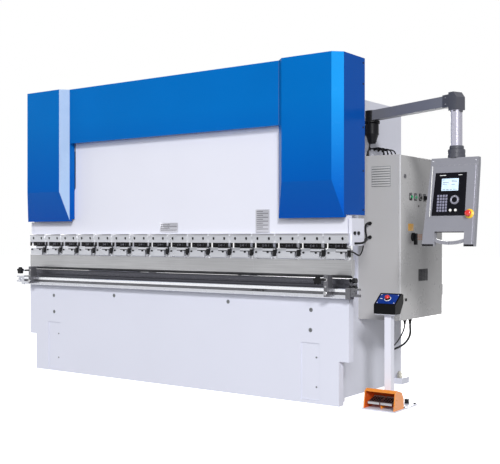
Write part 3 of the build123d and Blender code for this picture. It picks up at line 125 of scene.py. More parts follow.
class Shape:
    """A mesh being put together, in the row frame or in a face's frame."""

    def __init__(self, name, at=None):
        self.name = name
        self.bm = bmesh.new()
        self.at = at or Matrix.Translation((0, FRONT, 0))

    def _close(self, faces, bevel, segments):
        if bevel > 0:
            edges = list(dict.fromkeys(e for f in faces for e in f.edges))
            bmesh.ops.bevel(
                self.bm, geom=edges, offset=bevel, segments=segments, profile=0.5,
                affect="EDGES", clamp_overlap=True,
            )
        return self

    def prism(self, outline, low, high, bevel=0.0, segments=2, axes="xyz"):
        """Outline of two coordinates, extruded between two limits on the third."""
        order = [axes.index(c) for c in "xyz"]
        rings = []
        for level in (low, high):
            ring = []
            for a, b in outline:
                p = (a, b, level)
                ring.append(self.bm.verts.new(self.at @ Vector([p[i] for i in order])))
            rings.append(ring)
        n = len(outline)
        faces = [self.bm.faces.new(rings[0][::-1]), self.bm.faces.new(rings[1])]
        for i in range(n):
            j = (i + 1) % n
            faces.append(self.bm.faces.new((rings[0][i], rings[0][j], rings[1][j], rings[1][i])))
        return self._close(faces, bevel, segments)

    def box(self, x, y, z, bevel=1.0, segments=2):
        outline = [(x[0], y[0]), (x[1], y[0]), (x[1], y[1]), (x[0], y[1])]
        return self.prism(outline, z[0], z[1], bevel, segments)

    def turned(self, origin, direction, profile, steps=32):
        """Profile of (radius, height) pairs turned about a line from origin."""
        lift = self.at @ Vector(origin)
        turn = self.at.to_3x3() @ Vector(direction).normalized()
        spin = turn.to_track_quat("Z", "Y").to_matrix()
        rings = []
        for radius, height in profile:
            count = 1 if radius < 1e-6 else steps
            ring = []
            for i in range(count):
                a = 2 * math.pi * i / steps
                local = Vector((radius * math.cos(a), radius * math.sin(a), height))
                ring.append(self.bm.verts.new(lift + spin @ local))
            rings.append(ring)
        for lower, upper in zip(rings, rings[1:]):
            for i in range(steps):
                j = (i + 1) % steps
                corners = [lower[i % len(lower)], lower[j % len(lower)]]
                corners += [upper[j % len(upper)], upper[i % len(upper)]]
                unique = list(dict.fromkeys(corners))
                if len(unique) > 2:
                    self.bm.faces.new(unique)
        for ring, flip in ((rings[0], True), (rings[-1], False)):
            if len(ring) > 2:
                self.bm.faces.new(ring[::-1] if flip else ring)
        return self

    def tube(self, points, radius, steps=14, closed=False):
        """Round tube through points, carried along without twist."""
        pts = [self.at @ Vector(p) for p in points]
        count = len(pts)
        side = None
        rings = []
        for i, p in enumerate(pts):
            before = pts[i - 1] if (i or closed) else p
            after = pts[(i + 1) % count] if (i < count - 1 or closed) else p
            ahead = (after - before).normalized()
            if side is None:
                side = ahead.orthogonal().normalized()
            side = (side - ahead * side.dot(ahead)).normalized()
            other = ahead.cross(side)
            ring = []
            for k in range(steps):
                a = 2 * math.pi * k / steps
                ring.append(self.bm.verts.new(p + radius * (math.cos(a) * side + math.sin(a) * other)))
            rings.append(ring)
        pairs = list(zip(rings, rings[1:])) + ([(rings[-1], rings[0])] if closed else [])
        for lower, upper in pairs:
            for k in range(steps):
                j = (k + 1) % steps
                self.bm.faces.new((lower[k], lower[j], upper[j], upper[k]))
        if not closed:
            self.bm.faces.new(rings[0][::-1])
            self.bm.faces.new(rings[-1])
        return self

    def ring(self, centre, radius, thick, steps=40):
        """Torus in the plane of the shape's own frame."""
        points = [(centre[0] + x, centre[1] + y, centre[2]) for x, y in around(steps, radius)]
        return self.tube(points, thick, 10, closed=True)

    def stud(self, x, y, profile, steps=32, base=0.0):
        """Turned piece that stands on the face of the shape's own frame, or on a height above it."""
        return self.turned((x, y, base), (0, 0, 1), profile, steps)

    def screw(self, x, y, radius=4.0, height=2.5):
        """Socket-head screw standing on the face of the shape's own frame."""
        rim = radius * 0.52
        profile = [
            (radius, -0.5), (radius, height * 0.7), (radius * 0.85, height), (rim, height),
            (rim, height * 0.35), (0, height * 0.35),
        ]
        return self.stud(x, y, profile, 18)

    def finish(self, material, body="frame", sharp=35.0, slot=None):
        """Makes the object, in metres, and lets it ride on its body."""
        bmesh.ops.recalc_face_normals(self.bm, faces=self.bm.faces)
        bmesh.ops.scale(self.bm, vec=(MM, MM, MM), verts=self.bm.verts)
        mesh = bpy.data.meshes.new(self.name)
        self.bm.to_mesh(mesh)
        self.bm.free()
        mesh.shade_smooth()
        mesh.set_sharp_from_angle(angle=math.radians(sharp))
        mesh.materials.append(material)
        made = add_object(self.name, mesh)
        if body:
            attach(made, body)
        return made


# Materials ---------------------------------------------------------------------------------------
class Graph:
    """Short calls for building one node tree."""

    def __init__(self, name):
        self.material = bpy.data.materials.new(name)
        self.material.use_nodes = True
        self.tree = self.material.node_tree
        self.shader = self.tree.nodes["Principled BSDF"]
        self.place = self.node("ShaderNodeTexCoord").outputs["Object"]

    def node(self, kind, inputs=None, **settings):
        made = self.tree.nodes.new(kind)
        for key, value in settings.items():
            setattr(made, key, value)
        for key, value in (inputs or {}).items():
            made.inputs[key].default_value = value
        return made

    def link(self, source, target):
        self.tree.links.new(source, target)

    def noise(self, scale, detail=3.0, stretch=None, rough=0.5):
        made = self.node("ShaderNodeTexNoise", {"Scale": scale, "Detail": detail, "Roughness": rough})
        start = self.place
        if stretch:
            mapping = self.node("ShaderNodeMapping", {"Scale": stretch})
            self.link(self.place, mapping.inputs["Vector"])
            start = mapping.outputs["Vector"]
        self.link(start, made.inputs["Vector"])
        return made.outputs["Fac"]

    def spread(self, value, low, high, start=0.3, end=0.7):
        ends = {"From Min": start, "From Max": end, "To Min": low, "To Max": high}
        made = self.node("ShaderNodeMapRange", ends)
        self.link(value, made.inputs["Value"])
        return made.outputs["Result"]

    def math(self, operation, a, b):
        made = self.node("ShaderNodeMath", operation=operation)
        for socket, value in zip(made.inputs, (a, b)):
            if isinstance(value, (int, float)):
                socket.default_value = value
            else:
                self.link(value, socket)
        return made.outputs[0]

    def blend(self, factor, first, second):
        made = self.node("ShaderNodeMix", data_type="RGBA")
        self.link(factor, made.inputs["Factor"])
        for socket, value in ((made.inputs["A"], first), (made.inputs["B"], second)):
            if isinstance(value, tuple):
                socket.default_value = (*value, 1.0)
            else:
                self.link(value, socket)
        return made.outputs["Result"]

    def edges(self, radius):
        """1 on a convex or concave edge of that radius and 0 on open faces."""
        rounded = self.node("ShaderNodeBevel", {"Radius": radius}, samples=4)
        flat = self.node("ShaderNodeNewGeometry")
        dot = self.node("ShaderNodeVectorMath", operation="DOT_PRODUCT")
        self.link(rounded.outputs["Normal"], dot.inputs[0])
        self.link(flat.outputs["Normal"], dot.inputs[1])
        return self.spread(dot.outputs["Value"], 1.0, 0.0, 0.8, 0.965)


def shifted(colour, amount):
    """The colour made lighter or darker by a share of itself."""
    return tuple(min(1.0, max(0.0, c * (1 + amount))) for c in colour)


def paint(
    name, colour, rough, metal=0.0, tint=0.05, grain=420.0, bump=0.06, depth=0.0003,
    stretch=None, rough_span=0.06, worn=None, wear=0.5, edge=0.002, coat=0.0, specular=0.5, painted_light_ramp=None,
):
    """Material with slow colour drift, fine grain, uneven gloss and, where named, worn edges.

    A painted_light_ramp is a second colour, an axis, and the two places along it, in metres, between
    which that colour gives way; it paints light or shade into the colour along that axis.
    """
    g = Graph(name)
    drift = g.spread(g.noise(1.7, 4.0), 0.0, 1.0)
    base = g.blend(drift, shifted(colour, -tint), shifted(colour, tint))
    # Painted light or shade: a second colour ramped into the base colour along one axis.
    if painted_light_ramp:
        parts = g.node("ShaderNodeSeparateXYZ")
        g.link(g.place, parts.inputs["Vector"])
        base = g.blend(g.spread(parts.outputs[painted_light_ramp[1]], 0.0, 1.0, *painted_light_ramp[2:]), painted_light_ramp[0], base)
    fine = g.noise(grain, 3.0, stretch)
    if stretch:
        streak = g.spread(fine, 0.0, 1.0, 0.25, 0.75)
        base = g.blend(streak, base, shifted(colour, -2.2 * tint))
    gloss = g.spread(g.noise(9.0, 5.0, None, 0.65), rough - rough_span, rough + rough_span)
    if worn:
        patchy = g.spread(g.noise(55.0, 4.0, None, 0.7), 0.0, 1.0, 0.42, 0.62)
        mask = g.math("MULTIPLY", g.math("MULTIPLY", g.edges(edge), patchy), wear)
        base = g.blend(mask, base, worn)
        gloss = g.math("ADD", gloss, g.math("MULTIPLY", mask, 0.18))
    g.link(base, g.shader.inputs["Base Color"])
    g.link(gloss, g.shader.inputs["Roughness"])
    g.shader.inputs["Metallic"].default_value = metal
    g.shader.inputs["Specular IOR Level"].default_value = specular
    if coat:
        g.shader.inputs["Coat Weight"].default_value = coat
        g.shader.inputs["Coat Roughness"].default_value = 0.12
    relief = g.node("ShaderNodeBump", {"Strength": bump, "Distance": depth})
    g.link(fine, relief.inputs["Height"])
    g.link(relief.outputs["Normal"], g.shader.inputs["Normal"])
    return g.material


BRUSHED_X = (0.012, 1.0, 1.0)  # grain drawn out along X
BRUSHED_Z = (1.0, 1.0, 0.02)
STEEL_WEAR = (0.86, 0.87, 0.9)
LIGHT_WEAR = (0.95, 0.95, 0.97)
PRIMER = (0.30, 0.31, 0.33)
LACQUER = {"tint": 0.012, "bump": 0.05, "worn": PRIMER, "wear": 0.3, "specular": 0.3}
# Finish shared by the lighter chamfer blues, which paint highlight and reflection onto the covers.
CHAMFER_SHEEN_FINISH = {"tint": 0.04, "bump": 0.03, "wear": 0.2}
# Finish of the painted shade copies of the cover blue.
SHADED = {"tint": 0.04, "bump": 0.02, "wear": 0.2, "specular": 0.06}
INKED = {"grain": 900.0, "bump": 0.03}


def brushed(name, colour, rough, tint, **changes):
    """Bare metal with its grain drawn out one way."""
    usual = {
        "metal": 1.0, "grain": 300.0, "bump": 0.08, "depth": 0.0002, "stretch": BRUSHED_X,
        "rough_span": 0.05, "worn": STEEL_WEAR,
    }
    return paint(name, colour, rough, tint=tint, **(usual | changes))


WHITE = paint("white_paint", (0.79, 0.80, 0.90), 0.34, **LACQUER)
BEDWHITE = paint("bed_paint", (0.72, 0.735, 0.845), 0.34, **LACQUER)
# Darker copy of the white paint for the side frames, whose +X faces the light reaches less: painted shade.
SIDE = paint("side_shade_white", (0.68, 0.69, 0.78), 0.36, **LACQUER)
# The covers' chamfers are the same blue paint. These lighter colours are a painted reflection of the key
# light on the left cover and a painted highlight on the right one, darker towards the bottom.
CHAMFER_REFLECTION_LEFT = paint("chamfer_reflection_left", (0.30, 0.44, 0.68), 0.3, worn=(0.5, 0.6, 0.75), specular=0.2, **CHAMFER_SHEEN_FINISH)
CHAMFER_HIGHLIGHT_RIGHT = paint(
    "chamfer_highlight_right", (0.01, 0.30, 0.80), 0.25, worn=(0.0, 0.25, 0.7), specular=0.1,
    painted_light_ramp=((0.0, 0.09, 0.50), "Z", 1.35, 2.1), **CHAMFER_SHEEN_FINISH,
)
# Darker cover blue for the right cover's +X side: painted shade.
PAINTED_SIDE_SHADE = paint("painted_side_shade", (0.0, 0.082, 0.42), 0.2, worn=(0.0, 0.12, 0.45), **SHADED)
# Darkest cover blue for the covers' downward faces: painted shade under them.
PAINTED_UNDERSIDE_SHADE = paint("painted_underside_shade", (0.0, 0.055, 0.34), 0.2, worn=(0.0, 0.1, 0.4), **SHADED)
# Cover blue, ramped darker towards the bottom of the covers: painted shade.
BLUE = paint(
    "blue_paint", (0.0, 0.150, 0.52), 0.16, tint=0.04, bump=0.02, rough_span=0.02, worn=(0.0, 0.2, 0.6),
    specular=0.06, wear=0.3, painted_light_ramp=((0.0, 0.075, 0.42), "Z", 1.25, 2.1),
)
# Darker orange for the pedal hood's inside faces: painted shade inside the hood.
HOOD_INSIDE_SHADE = paint(
    "hood_inside_shade", (0.62, 0.09, 0.012), 0.35, tint=0.06, bump=0.08, worn=(0.8, 0.3, 0.1), specular=0.3,
)
TOOL = brushed("tool_steel", (0.47, 0.47, 0.48), 0.36, 0.12)
DIE = brushed("die_steel", (0.085, 0.085, 0.1), 0.36, 0.06)
CLAMP = brushed("clamp_steel", (0.62, 0.63, 0.67), 0.30, 0.05, grain=260.0, worn=LIGHT_WEAR)
BAND = brushed("band_steel", (0.42, 0.42, 0.45), 0.34, 0.08)
BRIGHT = brushed(
    "bright_steel", (0.86, 0.87, 0.9), 0.22, 0.04, grain=500.0, bump=0.05, worn=(0.95, 0.95, 0.96),
)
ALUMINIUM = brushed(
    "aluminium", (0.58, 0.59, 0.63), 0.27, 0.03, grain=420.0, bump=0.05, rough_span=0.04, worn=LIGHT_WEAR,
)
CARRIAGE = brushed(
    "dark_aluminium", (0.16, 0.16, 0.175), 0.36, 0.08, metal=0.7, grain=420.0, bump=0.06, stretch=BRUSHED_Z,
)
BOLT = paint(
    "blackened_bolt", (0.012, 0.012, 0.014), 0.42, 0.2, 0.2, 600.0, 0.08, worn=(0.16, 0.16, 0.17),
    specular=0.2,
)
BLACK = paint(
    "black_paint", (0.007, 0.007, 0.009), 0.4, tint=0.2, bump=0.12, worn=(0.1, 0.1, 0.11), wear=0.35,
    specular=0.15,
)
CAST = paint(
    "cast_grey", (0.17, 0.18, 0.19), 0.55, tint=0.12, grain=160.0, bump=0.35, depth=0.0012,
    worn=(0.4, 0.4, 0.41),
)
VALVE = paint("zinc_steel", (0.55, 0.53, 0.46), 0.33, 0.9, 0.1, 90.0, 0.08, worn=STEEL_WEAR)
CABINET = paint(
    "cabinet_paint", (0.45, 0.445, 0.45), 0.42, tint=0.02, grain=900.0, bump=0.12, worn=(0.6, 0.6, 0.6),
    wear=0.15,
)
# Door grey, ramped lighter towards the door's front edge: painted reflection.
DOOR = paint(
    "door_paint_and_reflection", (0.31, 0.305, 0.31), 0.30, tint=0.03, grain=900.0, bump=0.07,
    painted_light_ramp=((0.50, 0.495, 0.50), "Y", -0.08, 0.28),
)
# Lighter grey for the door's rounded front edge: painted highlight.
EDGE_HIGHLIGHT = paint("edge_highlight_paint", (0.56, 0.56, 0.57), 0.3, tint=0.02, bump=0.06, worn=(0.7, 0.7, 0.7), wear=0.3)
SLATE = paint(
    "relay_plastic", (0.2, 0.21, 0.22), 0.55, tint=0.1, grain=700.0, bump=0.15, worn=(0.3, 0.3, 0.31),
)
GRILLE = paint(
    "vent_plastic", (0.055, 0.055, 0.062), 0.5, tint=0.1, grain=700.0, bump=0.15, specular=0.25,
)
GREEN = paint(
    "green_button", (0.01, 0.28, 0.11), 0.22, tint=0.08, bump=0.03, coat=0.5, worn=(0.05, 0.4, 0.2),
)
MATTE = paint(
    "black_plastic", (0.006, 0.006, 0.007), 0.5, tint=0.15, grain=1300.0, bump=0.2, depth=0.0002,
    worn=(0.05, 0.05, 0.055), specular=0.15,
)
IVORY = paint(
    "white_button", (0.88, 0.88, 0.86), 0.25, tint=0.02, bump=0.03, coat=0.4, worn=(0.7, 0.7, 0.68),
)
RED = paint(
    "red_button", (0.72, 0.018, 0.012), 0.24, tint=0.06, bump=0.03, coat=0.6, worn=(0.85, 0.12, 0.08),
)
YELLOW = paint("yellow_collar", (0.85, 0.55, 0.02), 0.35, worn=(0.6, 0.4, 0.05))
ARM = paint(
    "arm_paint", (0.185, 0.19, 0.225), 0.36, tint=0.04, grain=520.0, bump=0.07, worn=(0.4, 0.4, 0.42),
)
TUBE = paint(
    "tube_paint", (0.52, 0.51, 0.60), 0.28, 0.3, 0.03, 520.0, 0.05, worn=(0.6, 0.6, 0.64), wear=0.2,
)
COLLAR = paint(
    "collar_paint", (0.075, 0.077, 0.095), 0.34, tint=0.06, worn=(0.2, 0.2, 0.22), specular=0.3,
)
PENDANT = paint(
    "pendant_paint", (0.26, 0.262, 0.30), 0.36, tint=0.03, grain=800.0, bump=0.1, worn=(0.62, 0.62, 0.66),
    wear=0.8, edge=0.003,
)
PANEL = paint("black_panel", (0.003, 0.003, 0.006), 0.24, tint=0.2, grain=900.0, bump=0.04, specular=0.15)
KEY = paint(
    "key_rubber", (0.24, 0.24, 0.33), 0.5, tint=0.08, grain=900.0, bump=0.15, worn=(0.4, 0.4, 0.5),
)
RING = paint("dial_ring", (0.27, 0.27, 0.33), 0.38, 0.2, 0.06, 700.0, 0.1, worn=(0.5, 0.5, 0.55))
STATION = paint(
    "station_paint", (0.003, 0.003, 0.004), 0.36, tint=0.2, bump=0.1, worn=(0.06, 0.06, 0.07), wear=0.3,
    specular=0.1,
)
STATION_BLUE = paint("station_blue", (0.001, 0.03, 0.24), 0.3, tint=0.1, bump=0.04, specular=0.2)
ORANGE = paint("orange_paint", (0.85, 0.27, 0.02), 0.3, bump=0.08, worn=(0.9, 0.5, 0.2), coat=0.3)
RUBBER = paint(
    "cable_rubber", (0.005, 0.005, 0.006), 0.48, tint=0.2, grain=1500.0, bump=0.2, depth=0.0002,
    specular=0.15,
)
PLATE = paint("rating_plate", (0.52, 0.52, 0.57), 0.32, 0.6, 0.04, 600.0, 0.05, worn=(0.3, 0.3, 0.32))
INK = paint("printed_grey", (0.18, 0.18, 0.2), 0.5, tint=0.15, **INKED)
LABEL = paint("orange_label", (0.80, 0.40, 0.03), 0.4, tint=0.08, **INKED)
RUST = paint("brown_label", (0.42, 0.16, 0.06), 0.45, tint=0.25, grain=300.0, bump=0.03)
GLASS = paint("gauge_glass", (0.62, 0.66, 0.60), 0.08, bump=0.02, coat=0.8)


def screen_material():
    """Lit liquid-crystal screen with a fine pixel grid."""
    g = Graph("lcd_screen")
    drift = g.spread(g.noise(60.0, 2.0), 0.0, 1.0)
    base = g.blend(drift, (0.50, 0.66, 0.82), (0.66, 0.80, 0.92))
    wave = g.node("ShaderNodeTexWave", {"Scale": 400.0}, wave_type="BANDS", bands_direction="Z")
    g.link(g.place, wave.inputs["Vector"])
    base = g.blend(g.spread(wave.outputs["Fac"], 0.0, 0.25, 0.0, 1.0), base, (0.4, 0.52, 0.66))
    g.link(base, g.shader.inputs["Base Color"])
    g.link(base, g.shader.inputs["Emission Color"])
    g.shader.inputs["Emission Strength"].default_value = 0.45
    g.link(g.spread(g.noise(30.0), 0.12, 0.2), g.shader.inputs["Roughness"])
    return g.material


LCD = screen_material()

NODE_FINISH = {
    BEDWHITE: "bed_plate access_covers",
    WHITE: "ram_plate oil_tank ram_guides gauge_rails station_stand",
    BLUE: "cylinder_covers beam_cover",
    TOOL: "punch pedal_left pedal_right",
    DIE: "die_base bottom_die",
    CLAMP: "clamp_bodies clamp_jaws clamp_wedges",
    SIDE: "side_frames",
    BRIGHT: "piston_rods torsion_shaft gauge_finger_left gauge_finger_right",
    BOLT: "clamp_bolts frame_bolts cable_glands torsion_links",
    CAST: "cylinder_barrels torsion_bearings pump_motor",
    VALVE: "valve_and_pipes levelling_bolts",
    ALUMINIUM: "support_rail gauge_beam",
    BLACK: "arm_base",
    CABINET: "cabinet_body",
    DOOR: "cabinet_door",
    SLATE: "switchgear",
    MATTE: "stop_button mode_selector main_switch knob_left knob_right",
    GREEN: "start_button",
    IVORY: "pendant_key_left pendant_key_right",
    RED: "pendant_estop station_estop",
    CARRIAGE: "carriage_left carriage_right door_lock rail_brackets",
    ARM: "swing_arm",
    TUBE: "pendant_tube",
    PENDANT: "pendant_box",
    RING: "pendant_dial",
    STATION: "station_box",
    ORANGE: "pedal_hood",
    RUBBER: "ram_cable_upper ram_cable_lower cabinet_cables",
}
for material, names in NODE_FINISH.items():
    for name in names.split():
        mesh = NODES[name].data
        mesh.materials.clear()
        mesh.materials.append(material)
        for polygon in mesh.polygons:
            polygon.material_index = 0


def paint_faces(node, material, chosen):
    """Gives the polygons that chosen picks, by their centre and normal, a second finish."""
    mesh = NODES[node].data
    mesh.materials.append(material)
    for polygon in mesh.polygons:
        if chosen(Vector(polygon.center) / MM - Vector((0, FRONT, 0)), polygon.normal):
            polygon.material_index = len(mesh.materials) - 1


# Cables ------------------------------------------------------------------------------------------
THICK = 15.0
THIN = 10.0
cab_low = low_corner("cabinet_body")
CAB_FRONT = cab_low.y - FRONT
SIDE_OUTER = cab_low.x
LOW_GLANDS = [(1680, 668), (1689, 736)]
TOP_GLAND_X = 1500
TOP_GLAND_Y = [690, 755, 820, 885]
ARM_GLAND = (1452, 532)
GLAND = 15
CAB_LOW = cab_low.z
CAB_TOP = 1728

# Width in millimetres, length in metres, and the points.
ROUTES = {
    "ram_cable_upper_line": (THICK, 0.531, [
        (1482, CAB_FRONT - GLAND, 1242), (1482, CAB_FRONT - 50, 1242), (1498, 410, 1224),
        (1530, 350, 1192), (1574, 280, 1158), (1620, 205, 1130),
        (1644, 140, 1114), (1653, 100, 1106), (1648, 72, 1102),
        (1632, 60, 1101), (1608, 60, 1101),
    ]),
    "ram_cable_lower_line": (THIN, 0.584, [
        (1482, CAB_FRONT - GLAND, 1142), (1482, CAB_FRONT - 60, 1142), (1506, 385, 1125),
        (1540, 305, 1093), (1578, 225, 1058), (1612, 140, 1032),
        (1641, 70, 1020), (1651, 25, 1022), (1646, 2, 1032),
        (1634, -9, 1044), (1616, -9, 1044),
    ]),
    "cabinet_cable_thin": (THIN, 0.571, [
        (*LOW_GLANDS[0], CAB_LOW - GLAND), (*LOW_GLANDS[0], CAB_LOW - 45), (1668, 672, 465),
        (1636, 700, 425), (1575, 778, 380), (1500, 885, 338),
        (1430, 995, 308), (SIDE_OUTER + 22, 1035, 298), (SIDE_OUTER, 1035, 298),
    ]),
    "cabinet_cable_thick": (THICK, 0.552, [
        (*LOW_GLANDS[1], CAB_LOW - GLAND), (*LOW_GLANDS[1], CAB_LOW - 50), (1682, 758, 440),
        (1652, 790, 395), (1590, 845, 346), (1500, 935, 306),
        (1432, 1010, 282), (SIDE_OUTER + 24, 1042, 274), (SIDE_OUTER, 1042, 274),
    ]),
    "arm_cable": (THIN, 0.078, [
        (1464, 540, 1819), (1463, 539, 1800), (1458, 536, 1780),
        (*ARM_GLAND, 1760), (*ARM_GLAND, CAB_TOP + GLAND),
    ]),
}
for number, gland_y in enumerate(TOP_GLAND_Y, 1):
    ROUTES[f"frame_cable_{number}"] = (THIN, 0.155, [
        (SIDE_OUTER, gland_y, 1800), (SIDE_OUTER + 30, gland_y, 1800), (SIDE_OUTER + 66, gland_y + 2, 1806),
        (SIDE_OUTER + 98, gland_y + 2, 1796), (TOP_GLAND_X, gland_y, 1770),
        (TOP_GLAND_X, gland_y, CAB_TOP + GLAND),
    ])


def route_points(name, points):
    """Points along the route's NURBS spline, in metres."""
    curve = bpy.data.curves.new(name + "_route", "CURVE")
    curve.dimensions = "3D"
    spline = curve.splines.new("NURBS")
    spline.points.add(len(points) - 1)
    for point, (x, y, z) in zip(spline.points, points):
        point.co = (*(Vector((x, FRONT + y, z)) * MM), 1.0)
    spline.order_u = 3
    spline.use_endpoint_u = True
    spline.resolution_u = 12
    holder = add_object(name + "_route", curve)
    line = bpy.data.meshes.new_from_object(holder)
    path = [tuple(v.co) for v in line.vertices]
    bpy.data.objects.remove(holder)
    bpy.data.meshes.remove(line)
    return path


for name, (width, length, points) in ROUTES.items():
    path = route_points(name, points)
    moving = name.startswith("ram_cable")
    cable = Shape(name, Matrix.Identity(4)).tube([Vector(p) / MM for p in path], width / 2)
    cable = cable.finish(RUBBER, None if moving else "frame")
    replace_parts(cable, name.removesuffix("_line") if moving else "cabinet_cables")
    if moving:
        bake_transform(cable)

glands = Shape("gland_nuts")
cones = Shape("strain_reliefs")


def gland(origin, direction, body_radius, cable_radius):
    """Hexagon nut and tapered sleeve round a cable where it leaves a housing."""
    start = Vector(origin)
    way = Vector(direction)
    nut = body_radius + 3
    glands.turned(start, way, [(nut, 1), (nut, 8), (nut * 0.9, 10), (0, 10)], 6)
    foot, waist, end = GLAND - 1, GLAND + 12, GLAND + 24
    taper = [(body_radius * 0.8, foot), (cable_radius + 2.4, waist), (cable_radius + 0.9, end)]
    cones.turned(start, way, [(0, foot), *taper, (0, end)], 20)


gland((1482, CAB_FRONT, 1242), (0, -1, 0), 12, THICK / 2)
gland((1482, CAB_FRONT, 1142), (0, -1, 0), 12, THIN / 2)
gland((*LOW_GLANDS[0], CAB_LOW), (0, 0, -1), 12, THIN / 2)
gland((*LOW_GLANDS[1], CAB_LOW), (0, 0, -1), 12, THICK / 2)
for gland_y in TOP_GLAND_Y:
    gland((TOP_GLAND_X, gland_y, CAB_TOP), (0, 0, 1), 10, THIN / 2)
gland((*ARM_GLAND, CAB_TOP), (0, 0, 1), 10, THIN / 2)
glands.finish(BOLT)
cones.finish(RUBBER)

grommets = Shape("cable_grommets", side_face(SIDE_OUTER))
entries = [(1035, 298, THIN), (1042, 274, THICK)] + [(y, 1800, THIN) for y in TOP_GLAND_Y]
for y, z, width in entries:
    inner = width / 2
    grommets.stud(y, z, [(inner + 7, 0), (inner + 6, 3), (inner + 1, 9), (0, 9)], 20)
grommets.finish(RUBBER)

# Clamps ------------------------------------------------------------------------------------------
CLAMP_PITCH = 200.0
CLAMP_COUNT = 16
CLAMP_X = [(n - (CLAMP_COUNT - 1) / 2) * CLAMP_PITCH for n in range(CLAMP_COUNT)]
PLATE_FACE = front_face(-5)
JAW_FACE = front_face(-20)
bands = Shape("clamp_bands", PLATE_FACE)
# Black panels set into the clamps' deep recesses: painted shade.
window_shadows = Shape("clamp_window_shadows", front_face(16))
# Black strips at the ends of each recess: painted shadow between the jaws.
end_shadows = Shape("window_end_shadows", PLATE_FACE)
fittings = Shape("clamp_fittings", front_face(13))
# Black rectangle behind each wedge bar, showing round it: painted shade in the gap.
gap_shadows = Shape("wedge_gap_shadows", JAW_FACE)
sockets = Shape("clamp_sockets", PLATE_FACE)
stops = Shape("wedge_stops", JAW_FACE)
strips_between = Shape("clamp_strips", PLATE_FACE)
for x in CLAMP_X:
    bands.box((x - 94.5, x + 94.5), (1150.5, 1167.6), (-1, 2), 0.7)
    window_shadows.box((x - 71.5, x + 71.5), (1066, 1100.5), (-1, 3), 0.5)
    end_shadows.box((x - 93, x - 70), (1067, 1100), (-1, 1.2), 0.3)
    end_shadows.box((x + 70, x + 76), (1067, 1100), (-1, 1.2), 0.3)
    fittings.tube([(x - 60, 1084, 3), (x - 40, 1084, 3)], 2.2, 8)
    fittings.stud(x + 14, 1083, [(8.5, 0), (8.5, 9), (6.5, 11), (3, 11), (3, 8), (0, 8)], 24)
    fittings.box((x - 14, x - 4), (1073, 1092), (0, 6), 1.0)
    fittings.box((x + 38, x + 44), (1076, 1092), (0, 8), 1.5)
    gap_shadows.box((x + 6, x + 121), (1040, 1067.5), (-0.6, 1.6), 0.5)
    for dx in (-50, 50):
        sockets.stud(x + dx, 1135, [(8.5, 0), (8.5, 1.2), (0, 1.2)], 16)
    stops.box((x + 98, x + 124), (1010, 1056), (-1, 9), 2.0)
    if x < CLAMP_X[-1]:
        strips_between.box((x + 93, x + 107), (1102, 1150), (-6, 0.8), 0.3)
        strips_between.box((x + 93, x + 107), (1150, 1167), (-6, 2.2), 0.3)
bands.finish(BAND, "ram")
window_shadows.finish(MATTE, "ram")
end_shadows.finish(MATTE, "ram")
fittings.finish(DIE, "ram")
gap_shadows.finish(MATTE, "ram")
sockets.finish(MATTE, "ram")
stops.finish(MATTE, "ram")
strips_between.finish(CLAMP, "ram")

RAM_FACE = front_face(22)
plates = Shape("rating_plates", RAM_FACE)
rows = Shape("rating_rows", RAM_FACE)
rivets = Shape("rating_rivets", RAM_FACE)
for left, right, low, high in ((-103, 81, 1178, 1253), (815, 937, 1172, 1341)):
    plates.box((left, right), (low, high), (-0.5, 1.5), 0.6)
    count = int((high - low - 16) // 14)
    for n in range(count):
        z = high - 14 - n * 14
        length = (right - left - 20) * (0.55 + 0.45 * (n % 2))
        rows.box((left + 10, left + 10 + length), (z - 3, z + 3), (1.2, 1.9), 0.2)
    for x in (left + 5, right - 5):
        for z in (low + 5, high - 5):
            rivets.stud(x, z, [(2.4, 0), (2.0, 1.0), (0, 1.5)], 12, base=1.4)
plates.finish(PLATE, "ram")
rows.finish(INK, "ram")
rivets.finish(BRIGHT, "ram")

# Electrical cabinet ------------------------------------------------------------------------------
CAB_FACE = front_face(CAB_FRONT)
# Dark sheet behind the louvre slats: painted shade in the gaps between them.
Shape("louvre_shadow_back", CAB_FACE).box((1494, 1645), (1505, 1651), (-0.5, 0.8), 0.3).finish(SLATE)
louvres = Shape("louvre_slats", CAB_FACE)
for n in range(8):
    z = 1508 + n * 17.8
    slat = [(z, 0.5), (z + 13, 0.5), (z + 12, 2.2), (z + 3, 6.5), (z, 6.5)]
    louvres.prism(slat, 1497, 1642, 0.8, axes="yzx")
louvres.finish(CABINET)
Shape("cabinet_rim").box(
    (SIDE_OUTER + 4, 1703), (CAB_FRONT + 3, 1222), (CAB_TOP - 0.5, CAB_TOP + 2.5), 1.2,
).finish(CABINET)
back_panel = Shape("cabinet_back_panel", facing((0, 1225, 0), (0, 1, 0)))
back_panel.box((-1660, -1430), (620, 1650), (-0.5, 2.0), 1.0)
for x in (-1650, -1440):
    for z in (640, 1135, 1630):
        back_panel.stud(x, z, [(5, 0), (4, 2), (0, 2.6)], 14, base=2)
back_panel.finish(CABINET)

DOOR_X = 1724.5
DOOR_FACE = side_face(DOOR_X)
BUTTON_Z = 1432
BUTTON_Y = (672, 752, 832, 908)
